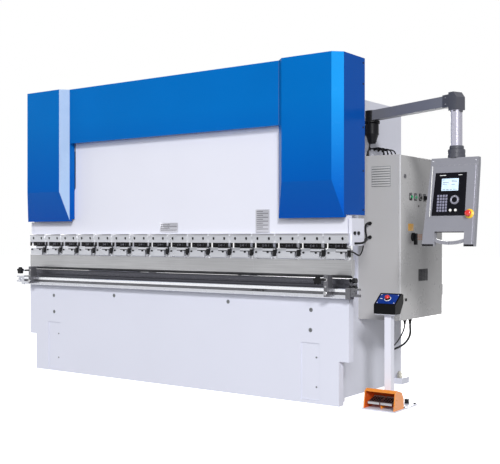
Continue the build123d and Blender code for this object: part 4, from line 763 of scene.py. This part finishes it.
# Rounded strip on the door's front edge, in the lighter grey: painted highlight.
Shape("door_lip").box(
    (1705.5, DOOR_X - 0.2), (CAB_FRONT + 1.5, CAB_FRONT + 10), (551, 1725), 4.0, 4,
).finish(EDGE_HIGHLIGHT, "door")
Shape("door_lamp", DOOR_FACE).stud(
    672, BUTTON_Z, [(12.5, 0), (12.5, 4), (10, 7.5), (5, 9.3), (0, 9.8)], base=10,
).finish(GREEN, "door")
bezels = Shape("door_bezels", DOOR_FACE)
for y in BUTTON_Y:
    bezels.box((y - 20, y + 20), (BUTTON_Z - 24, BUTTON_Z + 30), (-0.3, 2.2), 2.0)
bezels.ring((672, BUTTON_Z, 9), 14.5, 2.0)
bezels.box((580, 598), (686, 706), (-0.3, 9), 3.0)
bezels.stud(805, 1370, [(7, -0.5), (7, 2), (5, 4), (0, 4)], 20)
bezels.finish(MATTE, "door")
markers = Shape("door_markers", DOOR_FACE)
for y in BUTTON_Y:
    markers.box((y - 12, y + 12), (BUTTON_Z + 19, BUTTON_Z + 26), (2, 2.7), 0.2)
markers.finish(INK, "door")
Shape("door_label", DOOR_FACE).box((632, 718), (1188, 1240), (-0.3, 1.0), 0.3).finish(LABEL, "door")
notice = Shape("door_notice", DOOR_FACE)
for n in range(4):
    z = 1123 + n * 11
    for y in (782, 811, 840):
        notice.box((y, y + 22), (z, z + 7), (-0.3, 0.9), 0.2)
notice.finish(RUST, "door")
Shape("vent_back", DOOR_FACE).box((806, 954), (820, 908), (-0.5, 0.6), 0.3).finish(MATTE, "door")
vent = Shape("vent_grid", DOOR_FACE)
for n in range(9):
    z = 823 + n * 9.6
    vent.prism([(z, 0.3), (z + 5.5, 0.3), (z + 4.5, 3.6), (z, 3.6)], 808, 952, 0.4, axes="yzx")
for y in (806, 854, 903, 951):
    vent.box((y, y + 3), (820, 908), (0, 4.2), 0.8)
vent.finish(GRILLE, "door")
switch_ring = Shape("switch_ring", DOOR_FACE)
switch_ring.ring((707, 1144, 12.5), 27, 2.2)
switch_ring.box((705, 709), (1092, 1112), (33.4, 34.8), 0.4)
switch_ring.finish(MATTE, "switch")
Shape("selector_mark", DOOR_FACE).box(
    (907, 909), (BUTTON_Z + 2, BUTTON_Z + 12), (21.6, 22.6), 0.3,
).finish(IVORY, "selector")
Shape("lock_slot", DOOR_FACE).box((573.6, 576.4), (1570, 1586), (6.6, 7.7), 0.3).finish(MATTE, "lock")
wiring = Shape("cabinet_wiring")
for z in (885, 1135, 1380):
    wiring.box((1409, 1470), (CAB_FRONT + 80, 1145), (z - 22, z + 22), 3.0)
wiring.finish(PLATE)
terminals = Shape("relay_faces", side_face(1475))
for z in (760, 1010, 1260, 1500):
    for n in range(6):
        y = CAB_FRONT + 100 + n * 86
        terminals.box((y + 8, y + 58), (z - 30, z + 30), (-0.5, 7), 2.0)
        for k in range(3):
            terminals.stud(y + 16 + 17 * k, z + 40, [(5, -0.5), (5, 1.5), (2, 1.5), (0, 0.6)], 12)
terminals.finish(MATTE)

# Swing arm and pendant ---------------------------------------------------------------------------
ARM_X, ARM_Y = 1480.0, 545.0
TUBE_X, TUBE_Y = 2275.0, 195.0
arm_way = Vector((TUBE_X - ARM_X, TUBE_Y - ARM_Y, 0)).normalized()
arm_side = Vector((-arm_way.y, arm_way.x, 0))
arm_at = Matrix((arm_way, arm_side, Vector((0, 0, 1)))).transposed().to_4x4()
arm_at.translation = Vector((ARM_X, FRONT + ARM_Y, 0))
arm_run = math.hypot(TUBE_X - ARM_X, TUBE_Y - ARM_Y)

flange = Shape("arm_flange")
flange.stud(ARM_X, ARM_Y, [(0, 0), (50, 0), (56, 4), (56, 14), (50, 17), (0, 17)], 48, base=1968)
for x, y in around(6, 51, 30):
    flange.turned((ARM_X + x, ARM_Y + y, 1974), (0, 0, -1), [(4.5, 0), (4.5, 11), (3, 12), (0, 12)], 6)
for z, low_radius, high_radius in ((1832, 31, 34), (1886, 49.5, 50.5)):
    flange.stud(ARM_X, ARM_Y, [(0, 0), (low_radius, 0), (high_radius, 5), (0, 5)], 48, base=z)
flange.finish(BLACK)
arm_trim = Shape("arm_trim", arm_at)
arm_trim.stud(0, 0, [(46, 0), (46, 3), (40, 6), (0, 6)], 48, base=2055)
for y in (-35, 35):
    for z in (2000, 2042):
        way = (0, 1 if y > 0 else -1, 0)
        arm_trim.turned((arm_run - 66, y, z), way, [(5, -1), (5, 3), (3, 4.5), (0, 4.5)], 12)
arm_trim.finish(ARM, "arm")
collars = Shape("tube_collars")
for low, high, radius in ((1650, 1672, 55.5), (1678, 1702, 55.0), (1704, 1727, 46.0), (1944, 1955.5, 40.0)):
    rise = high - low
    collars.turned(
        (TUBE_X, TUBE_Y, low), (0, 0, 1),
        [(0, 0.2), (radius - 2, 0.2), (radius, 3), (radius, rise - 3), (radius - 3, rise), (0, rise)], 48,
    )
collars.finish(COLLAR, "pendant")

LEAN = math.radians(8.5)
LEAN_TOP = 1605.0
LEAN_FRONT = 150
LEAN_OUT = (0, -math.cos(LEAN), math.sin(LEAN))
lean_at = facing((0, LEAN_FRONT, LEAN_TOP), LEAN_OUT)


def lean(z):
    """Distance along the leaning face, from its top edge, of a height."""
    return (z - LEAN_TOP) / math.cos(LEAN)


panel = Shape("panel_face", lean_at)
panel.prism(
    [(2156, lean(1555)), (2143, lean(1279)), (2368, lean(1279)), (2367, lean(1554))], -0.5, 2.2, 0.8,
)
panel.finish(PANEL, "pendant")
PANEL_OUT = 2.2
Shape("screen_frame", lean_at).box(
    (2194, 2324), (lean(1431), lean(1523)), (PANEL_OUT - 0.8, PANEL_OUT + 1.4), 1.0,
).finish(PANEL, "pendant")
Shape("lcd", lean_at).box(
    (2202, 2316), (lean(1438), lean(1516)), (PANEL_OUT, PANEL_OUT + 2.0), 0.4,
).finish(LCD, "pendant")
marks = Shape("screen_rows", lean_at)
SCREEN_ROWS = [
    (2208, 2222, 1508), (2268, 2302, 1504), (2268, 2306, 1495), (2210, 2250, 1492), (2210, 2238, 1480),
    (2268, 2294, 1478), (2210, 2228, 1446), (2234, 2252, 1446), (2258, 2276, 1446), (2282, 2306, 1446),
]
for x0, x1, z in SCREEN_ROWS:
    marks.box((x0, x1), (lean(z) - 1.6, lean(z) + 1.6), (PANEL_OUT + 1.8, PANEL_OUT + 2.3), 0.1)
marks.finish(INK, "pendant")
strips = Shape("panel_strips", lean_at)
strips.box((2186, 2228), (lean(1535), lean(1539.5)), (PANEL_OUT - 0.3, PANEL_OUT + 0.5), 0.2)
strips.box((2312, 2338), (lean(1536), lean(1539.5)), (PANEL_OUT - 0.3, PANEL_OUT + 0.5), 0.2)
strips.finish(IVORY, "pendant")
keys = Shape("keypad", lean_at)
for row in range(6):
    for column in range(4):
        x = 2184 + column * 18.5
        z = lean(1405) - row * 19.0
        keys.box((x - 6.8, x + 6.8), (z - 7.6, z + 7.6), (PANEL_OUT - 0.5, PANEL_OUT + 3.0), 1.6)
keys.finish(KEY, "pendant")
DIAL_X, DIAL_Z = 2297.0, 1378.0
dial = Shape("dial_ring_piece", lean_at)
ridge = [(17, 2), (29, 2), (29.5, 8), (27, 12.5), (23, 14), (19, 12.5), (17, 9)]
dial.stud(DIAL_X, lean(DIAL_Z), [(6, 0), (6, 2), *ridge, (0, 9)], 48)
for x, y in around(24, 28.7):
    dial.stud(DIAL_X + x, lean(DIAL_Z) + y, [(1.6, 0), (1.6, 7), (0.5, 9), (0, 9)], 8, base=3)
dial = dial.finish(RING, "dial")
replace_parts(dial, "pendant_dial")
Shape("dial_hub", lean_at).stud(
    DIAL_X, lean(DIAL_Z), [(16.6, 8), (16.6, 10.5), (14, 11.6), (0, 12)], 32,
).finish(PANEL, "dial")
KEY_Z = 1312.0
Shape("dial_mark", lean_at).stud(
    DIAL_X, lean(DIAL_Z) + 22, [(2.6, 0), (2.2, 1.0), (0, 1.2)], 14, base=13.4,
).finish(IVORY, "dial")
KEY_X = {"left": 2273.0, "right": 2308.0}
STEM = -18  # how far a button's stem reaches behind its face
crown = [(0, STEM), (5.8, STEM), (5.8, 6), (9, 6), (9.4, 8), (9, 12), (7, 14), (0, 14.5)]
for side, x in KEY_X.items():
    cap = Shape(f"key_cap_{side}", lean_at).stud(x, lean(KEY_Z), crown, 28)
    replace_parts(cap.finish(IVORY, f"key_{side}"), f"pendant_key_{side}")
bosses = Shape("key_bosses", lean_at)
for x in KEY_X.values():
    bosses.stud(x, lean(KEY_Z), [(6.2, 2), (14, 2), (13.5, 4.2), (6.2, 4.2)], 28)
bosses.finish(PANEL, "pendant")


def mushroom(name, body, node, at, x, y, size, low):
    """Domed emergency button with a waisted neck."""
    dome = Shape(name, at)
    profile = [(0, STEM), (5.9, STEM), (5.9, low), (0.62 * size, low), (0.62 * size, low + 7)]
    profile += [(0.95 * size, low + 10), (size, low + 14), (0.97 * size, low + 18), (0.8 * size, low + 22)]
    profile.append((0.5 * size, low + 24.5))
    dome.stud(x, y, profile + [(0.2 * size, low + 25.4), (0, low + 25.5)], 40)
    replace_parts(dome.finish(RED, body, 50), node)


ESTOP_X, ESTOP_Z = 2398.0, 1290.0
mushroom("pendant_stop_dome", "pendant_stop", "pendant_estop", lean_at, ESTOP_X, lean(ESTOP_Z), 21, 12)
Shape("pendant_stop_collar", lean_at).stud(
    ESTOP_X, lean(ESTOP_Z), [(6.5, 0), (30, 0), (30, 3), (24, 6), (18, 9), (6.5, 9)], 40,
).finish(YELLOW, "pendant")

folds = Shape("pendant_folds", lean_at)
for left, z in ((2124, 1602), (2103, 1270)):
    folds.box((left, 2436), (lean(z) - 2.5, lean(z) + 2.5), (-0.5, 1.1), 1.0)
folds.finish(PENDANT, "pendant")
Shape("pendant_edges", lean_at).box(
    (2128, 2133.5), (lean(1272), lean(1600)), (-0.5, 2.6), 1.8, 3,
).finish(IVORY, "pendant", slot="pendant_white")
Shape("pendant_seam", lean_at).box(
    (2421, 2425), (lean(1100), lean(1600)), (-0.5, 1.6), 1.2, 3,
).finish(TUBE, "pendant")
LEAN_FOOT = LEAN_FRONT - (LEAN_TOP - 1085) * math.tan(LEAN)
feet = Shape("pendant_feet")
for x in ((2089, 2168), (2372, 2437)):
    feet.box(x, (LEAN_FOOT - 0.5, LEAN_FOOT + 40), (1085, 1098), 2.0)
feet.box((2170, 2370), (LEAN_FOOT + 17, LEAN_FOOT + 20), (1172, 1178.5), 0.8)
feet.finish(MATTE, "pendant")
handle = Shape("pendant_handle")
grip_y = LEAN_FOOT + 24
arc = [(2162 + 216 * t, 1106 + 20 * (2 * t - 1) ** 2) for t in (n / 20 for n in range(21))]
for (xa, za), (xb, zb) in zip(arc, arc[1:]):
    side = [(xa, za - 11), (xb, zb - 11), (xb, zb + 11), (xa, za + 11)]
    handle.prism(side, grip_y - 12, grip_y + 12, axes="xzy")
bmesh.ops.remove_doubles(handle.bm, verts=handle.bm.verts, dist=0.01)
handle.finish(PENDANT, "pendant")
pendant_rear = Shape("pendant_rear", facing((0, 250, 0), (0, 1, 0)))
for n in range(7):
    z = 1400 + n * 16
    pendant_rear.prism([(z, 0), (z + 10, 0), (z + 9, 3), (z + 2, 5), (z, 5)], -2360, -2210, 0.8, axes="yzx")
for x in (-2388, -2173):
    for z in (1385, 1500, 1635):
        pendant_rear.screw(x, z)
pendant_rear.finish(PENDANT, "pendant")
pendant_screws = Shape("pendant_screws", front_face(LEAN_FRONT))
for x in (2138, 2424):
    pendant_screws.screw(x, 1630)
pendant_screws.finish(BRIGHT, "pendant")

# Foot station ------------------------------------------------------------------------------------
SLOPE = math.atan2(72, 100)
SLOPE_OUT = (0, -math.sin(SLOPE), math.cos(SLOPE))
slope_at = facing((0, 190, 726), SLOPE_OUT)
Shape("station_panel", slope_at).box(
    (1719, 1857), (-49, 49), (-0.6, 1.6), 1.2,
).finish(STATION_BLUE)
trim = Shape("station_trim", slope_at)
trim.ring((1788, 0, 2), 21, 2.4)
for x in (1726, 1850):
    for y in (-42, 42):
        trim.screw(x, y, 3.4, 3.4)
trim.box((1730, 1748), (-3, 3), (1.4, 2.4), 0.3)
trim.finish(IVORY)
Shape("station_neck", slope_at).stud(
    1788, 0, [(8.3, 1), (18, 1), (18, 4), (13, 8), (8.3, 8)], 36,
).finish(MATTE)
mushroom("station_stop_dome", "foot_stop", "station_estop", slope_at, 1788, 0, 17, 4)
base_bolts = Shape("station_bolts", facing((0, 0, 8), (0, 0, 1)))
for x in (1700, 1906):
    for y in (190, 354):
        base_bolts.stud(x, y, [(9, -0.5), (9, 6), (7, 8), (0, 8)], 6)
base_bolts.finish(BOLT)
welds = Shape("column_welds")
for z in (8.5, 619):
    welds.box((1766, 1822), (172, 228), (z - 3, z + 3), 2.8)
welds.finish(WHITE)

TREAD_TILT = math.atan2(24, 93.0)
TREAD_MIDDLE = (93.5, 66)
for side, x in (("left", 1757.0), ("right", 1849.0)):
    at = facing((0, *TREAD_MIDDLE), (0, -math.sin(TREAD_TILT), math.cos(TREAD_TILT)))
    ribs = Shape(f"treadle_ribs_{side}", at)
    for row in range(6):
        for column in range(4):
            left = x - 37 + column * 19.5 + 4 * (row % 2)
            low = -37 + row * 12.5
            ribs.box((left, left + 13), (low, low + 6), (-1.5, 2.6), 1.0)
    ribs.finish(RUBBER, f"treadle_{side}")
hood_trim = Shape("hood_trim")
for x in (1690.5, 1909.5):
    hood_trim.tube([(x + 3, 29, 10), (x + 3, 46.5, 121), (x + 3, 72, 134)], 3.2, 10)
hood_trim.box((1801, 1805), (60, 160), (8.5, 30), 1.5)
hood_trim.finish(ORANGE)

# Support rail and gauge --------------------------------------------------------------------------
rail_marks = Shape("rail_marks", front_face(-62))
for x, size in ((852, 6), (874, 6), (893, 7), (915, 6), (940, 8)):
    rail_marks.stud(x, 769, [(size, -0.5), (size, 2.0), (size - 2, 3.2), (0, 3.2)], 16)
rail_marks.finish(BOLT)
scale = Shape("rail_scale", facing((0, 0, 800), (0, 0, 1)))
for n in range(-31, 32):
    reach = 6 if n % 5 else 12
    scale.box((n * 50 - 0.8, n * 50 + 0.8), (-30 - reach, -18), (-0.2, 0.3), 0.0)
scale.finish(INK)
for side, sign in (("left", -1), ("right", 1)):
    x = sign * 1480.0
    Shape(f"knob_trim_{side}", front_face(-196)).stud(
        x, 858, [(9, -24), (9, 1.0), (7, 2.4), (0, 2.8)], 24,
    ).finish(BRIGHT, f"star_{side}")
    carriage_trim = Shape(f"carriage_trim_{side}", front_face(-108))
    carriage_trim.stud(x, 768, [(13, -0.5), (13, 2), (10, 4.5), (5, 4.5), (5, 2), (0, 2)], 24, base=7.5)
    carriage_trim.stud(x, 858, [(7.3, 0), (12, 0), (12, 5), (10, 7), (7.3, 7)], 24)
    carriage_trim.stud(x, 812, [(6, -0.5), (6, 4), (3, 4), (3, 2), (0, 2)], 16)
    carriage_trim.finish(TOOL, f"support_{side}")
    finger_x = sign * 520.0
    micro = Shape(f"finger_tip_{side}")
    micro.box((finger_x - 20, finger_x + 20), (197, 204), (866, 914), 1.5)
    tip = [(0, -1), (10, -1), (11, 3), (11, 18), (9, 21), (0, 21)]
    micro.turned((finger_x, 300, 890), (0, 1, 0), tip, 24)
    micro.finish(TOOL, f"finger_{side}", slot="tool_steel")

GUIDE_X = 900.0
guides = Shape("gauge_guides")
for sign in (-1, 1):
    for n in range(12):
        y = 160 + n * 64
        guides.turned((sign * GUIDE_X, y, 680), (0, 0, -1), [(4.5, -0.2), (4.5, 0.6), (0, 0.6)], 12)
    end_cap = [(0, -8), (34, -8), (36, -4), (36, 6), (0, 6)]
    guides.turned((sign * GUIDE_X, 1020, 625), (0, 1, 0), end_cap, 28)
guides.finish(BOLT)

# Hydraulics --------------------------------------------------------------------------------------
MOTOR_Y = 940
MOTOR_Z = 2135.0
MOTOR_END = -592
fins = Shape("motor_fins")
for n in range(17):
    x = -548 + n * 21
    fins.turned((x, MOTOR_Y, MOTOR_Z), (1, 0, 0), [(108, 0), (119, 0.8), (119, 4.2), (108, 5)], 48)
cowl = [(0, 0), (96, 0), (104, 8), (104, 30), (98, 32), (0, 32)]
fins.turned((MOTOR_END, MOTOR_Y, MOTOR_Z), (1, 0, 0), cowl, 48)
fins.finish(CAST)
grille = Shape("fan_grille", facing((MOTOR_END, MOTOR_Y, MOTOR_Z), (-1, 0, 0)))
for radius in (18, 34, 50, 66, 82):
    grille.ring((0, 0, 0.6), radius, 1.8)
for x, y in around(6, 86, turn=180):
    grille.tube([(-x, -y, 0.4), (x, y, 0.4)], 1.8, 8)
grille.finish(BOLT)
motor_trim = Shape("motor_trim")
motor_trim.box((-466, -334), (MOTOR_Y - 66, MOTOR_Y + 66), (MOTOR_Z + 160, MOTOR_Z + 168), 2.0)
for x in (-456, -344):
    for y in (MOTOR_Y - 56, MOTOR_Y + 56):
        motor_trim.stud(x, y, [(5, 0), (5, 4), (2.5, 4), (2.5, 2), (0, 2)], 14, base=MOTOR_Z + 167)
for y, z in around(8, 112):
    motor_trim.turned((-163, MOTOR_Y + y, MOTOR_Z + z), (1, 0, 0), [(8, 0), (8, 7), (6, 9), (0, 9)], 6)
motor_trim.stud(600, MOTOR_Y, [(0, -6), (42, -6), (44, -2), (44, 10), (38, 16), (0, 18)], 40, base=2070)
motor_trim.finish(MATTE)

TANK_BACK = facing((0, 1180, 0), (0, 1, 0))
gauge_body = Shape("level_gauge", TANK_BACK)
gauge_body.box((-640, -600), (1640, 1860), (-0.5, 16), 5.0)
gauge_body.stud(620, 1560, [(18, -0.5), (18, 10), (15, 13), (0, 13)], 6)
for x in (-1310, -1100, -500, -100, 100, 500, 1100, 1310):
    for z in (1545, 1965):
        gauge_body.screw(x, z, 7, 6)
gauge_body.finish(BOLT)
Shape("level_glass", TANK_BACK).box((-627, -613), (1662, 1838), (14, 18), 2.0).finish(GLASS)
tank_covers = Shape("tank_covers", TANK_BACK)
for x in ((-1050, -950), (150, 270), (800, 900)):
    tank_covers.box(x, (1640, 1880), (-0.5, 5), 2.0)
tank_covers.finish(WHITE)

VALVE_Y = 560
PRESSURE_Z = 1888  # middle of the pressure gauge
coils = Shape("valve_coils")
for x in (-60, 0, 60):
    coils.box((x - 25, x + 25), (VALVE_Y + 45, VALVE_Y + 95), (1990, 2046), 4.0)
    coils.box((x - 16, x + 16), (VALVE_Y + 26, VALVE_Y + 48), (2004, 2036), 3.0)
coils.finish(MATTE)
valve_trim = Shape("valve_trim", front_face(VALVE_Y))
for x in (-80, -27, 27, 80):
    for z in (1826, 1950):
        valve_trim.stud(x, z, [(13, -0.5), (13, 7), (11, 9), (5, 9), (5, 5), (0, 5)], 6)
valve_trim.stud(0, PRESSURE_Z, [(12, -0.5), (12, 14), (32, 16), (33, 30), (30, 33), (0, 32)], 36)
valve_trim.finish(VALVE)
Shape("pressure_dial", front_face(VALVE_Y - 32.5)).stud(
    0, PRESSURE_Z, [(28, -0.5), (28, 0.8), (0, 0.8)], 36,
).finish(IVORY)
pointer = Shape("pressure_pointer", front_face(VALVE_Y - 33.3))
pointer.prism([(-2, PRESSURE_Z - 4), (2, PRESSURE_Z - 4), (-12, PRESSURE_Z + 21)], -0.2, 0.9)
for x, z in around(9, 24, 225, -303.75):
    pointer.stud(x, PRESSURE_Z + z, [(1.2, 0), (1.2, 0.8), (0, 0.8)], 8, base=-0.3)
pointer.finish(MATTE)

CYLINDER_X = 1320.0
cylinder_trim = Shape("cylinder_bolts")
head = [(11, -1), (11, 9), (9, 11), (5, 11), (5, 6), (0, 6)]
wiper = [(60.4, -1), (78, -1), (78, 10), (72, 14), (60.4, 14)]
for sign in (-1, 1):
    centre = (sign * CYLINDER_X, 52)
    for z, way in ((2200, 1), (1640, -1)):
        for x, y in around(8, 100, 22.5):
            place = (centre[0] + x, centre[1] + y, z)
            cylinder_trim.turned(place, (0, 0, way), head, 18)
    cylinder_trim.turned((*centre, 1640), (0, 0, -1), wiper, 48)
cylinder_trim.finish(BOLT)

# Covers ------------------------------------------------------------------------------------------
COVER_SIDE = 1581.0
COVER_JOINT = 1057
cover_trim = Shape("cover_screws")
dome_head = [(7, -0.5), (6.5, 2.5), (4, 4), (0, 4.3)]
for sign in (-1, 1):
    for z in (1330, 1600, 1900, 2200, 2345):
        cover_trim.turned((sign * COVER_SIDE, 225, z), (sign, 0, 0), dome_head, 18)
cover_trim.finish(BOLT)
joint_lines = Shape("cover_joints")
for sign in (-1, 1):
    x = sign * COVER_JOINT
    joint_lines.box((x - 1.4, x + 1.4), (-39, 248), (1930, 2379), 0.3)
joint_lines.finish(INK)


def inside_hood(c, n):
    """True on the faces that look into the hood."""
    under = n.z < -0.3 and c.z > 20
    side = abs(n.x) > 0.9 and 1692 < c.x < 1914
    return under or side or (n.y < -0.3 and c.y > 120)


paint_faces("pendant_box", TUBE, lambda c, n: n.x < -0.9 and c.x < 2130)
# Downward faces of the covers get the darkest blue: painted shade.
paint_faces("cylinder_covers", PAINTED_UNDERSIDE_SHADE, lambda c, n: n.z < -0.3)
# The right cover's +X side gets the darker blue: painted shade.
paint_faces("cylinder_covers", PAINTED_SIDE_SHADE, lambda c, n: n.x > 0.9 and c.x > 1500)
# Chamfer faces of the covers: painted highlight on the right cover, painted reflection on the left one.
paint_faces("cylinder_covers", CHAMFER_HIGHLIGHT_RIGHT, lambda c, n: n.x > 0.3 and n.y < -0.3 and c.x > 0 and n.z > -0.2)
paint_faces("cylinder_covers", CHAMFER_REFLECTION_LEFT, lambda c, n: n.x > 0.3 and n.y < -0.3 and c.x < 0 and n.z > -0.2)
# Recessed groove of the rail in dark aluminium: painted shade in the recess.
paint_faces("support_rail", CARRIAGE, lambda c, n: 757 < c.z < 779 and c.y > -57)
# Upper part of the rail in bright steel: painted highlight.
paint_faces("support_rail", BRIGHT, lambda c, n: c.z > 779)
paint_faces("rail_brackets", ALUMINIUM, lambda c, n: c.x < 0)
paint_faces("pendant_tube", COLLAR, lambda c, n: c.z < 1735)
paint_faces("swing_arm", COLLAR, lambda c, n: c.x > 2180)
paint_faces("swing_arm", BLACK, lambda c, n: c.x < 1520)
paint_faces("frame_bolts", CAST, lambda c, n: abs(c.x) < 1500 and c.y < 60)
# Inside faces of the hood get the darker orange: painted shade.
paint_faces("pedal_hood", HOOD_INSIDE_SHADE, inside_hood)
paint_faces("oil_tank", CABINET, lambda c, n: n.z > 0.9 and c.z > 1985)

# Stage -------------------------------------------------------------------------------------------
floor_mesh = bpy.data.meshes.new("floor")
HALF_FLOOR = 40.0
FLOOR_DROP = -0.001
corners = [(HALF_FLOOR * x, HALF_FLOOR * y) for x, y in ((-1, -1), (1, -1), (1, 1), (-1, 1))]
floor_mesh.from_pydata([(x, y, 0) for x, y in corners], [], [(0, 1, 2, 3)])
floor = add_object("floor", floor_mesh, (0, 0, FLOOR_DROP))
floor_finish = Graph("floor")
floor_tone = floor_finish.blend(
    floor_finish.spread(floor_finish.noise(0.6, 3.0), 0.0, 1.0), (0.90, 0.90, 0.905), (0.93, 0.93, 0.935),
)
floor_finish.link(floor_tone, floor_finish.shader.inputs["Base Color"])
floor_finish.link(floor_tone, floor_finish.shader.inputs["Emission Color"])
floor_finish.shader.inputs["Emission Strength"].default_value = 0.70
floor_finish.shader.inputs["Roughness"].default_value = 0.9
floor_finish.shader.inputs["Specular IOR Level"].default_value = 0.0
floor_mesh.materials.append(floor_finish.material)
floor.visible_diffuse = False


def soft_light(name, place, target, size, power):
    """Rectangular area light that shines from a place towards a target."""
    data = bpy.data.lights.new(name, "AREA")
    data.shape = "RECTANGLE"
    data.size, data.size_y = size
    data.energy = power
    add_object(name, data, place, Vector(target) - Vector(place))


soft_light("key_softbox", (5.6, -8.0, 3.4), (0.0, -0.3, 1.5), (1.5, 4.2), 330.0)
soft_light("left_panel", (-8.5, -3.0, 3.0), (-1.0, 0.0, 1.2), (3.0, 3.0), 160.0)
soft_light("top_panel", (0.0, -0.5, 6.0), (0.0, -0.5, 0.0), (9.0, 7.0), 70.0)
soft_light("rear_panel", (-3.0, 9.0, 4.0), (0.0, 0.5, 1.2), (4.5, 3.5), 520.0)

SUN_PLACE = (0.585, -0.677, 0.446)
sun_data = bpy.data.lights.new("key_sun", "SUN")
sun_data.energy = 1.9
sun_data.angle = math.radians(9.0)
add_object("key_sun", sun_data, aim=-Vector(SUN_PLACE))

AMBIENT = 0.24  # lights the object
SHINE = 0.6  # shines in its metal
BACKDROP = 1.0  # is seen by the camera
world = bpy.data.worlds.new("studio")
bpy.context.scene.world = world
world.use_nodes = True
tree = world.node_tree
tree.nodes.clear()
ray = tree.nodes.new("ShaderNodeLightPath")
out = tree.nodes.new("ShaderNodeOutputWorld")
result = None
for strength, chosen in ((AMBIENT, None), (SHINE, "Is Glossy Ray"), (BACKDROP, "Is Camera Ray")):
    sky = tree.nodes.new("ShaderNodeBackground")
    sky.inputs["Color"].default_value = (0.97, 0.98, 1.0, 1.0) if chosen != "Is Camera Ray" else (1, 1, 1, 1)
    sky.inputs["Strength"].default_value = strength
    if result is None:
        result = sky.outputs["Background"]
        continue
    mix = tree.nodes.new("ShaderNodeMixShader")
    tree.links.new(ray.outputs[chosen], mix.inputs["Fac"])
    tree.links.new(result, mix.inputs[1])
    tree.links.new(sky.outputs["Background"], mix.inputs[2])
    result = mix.outputs["Shader"]
tree.links.new(result, out.inputs["Surface"])
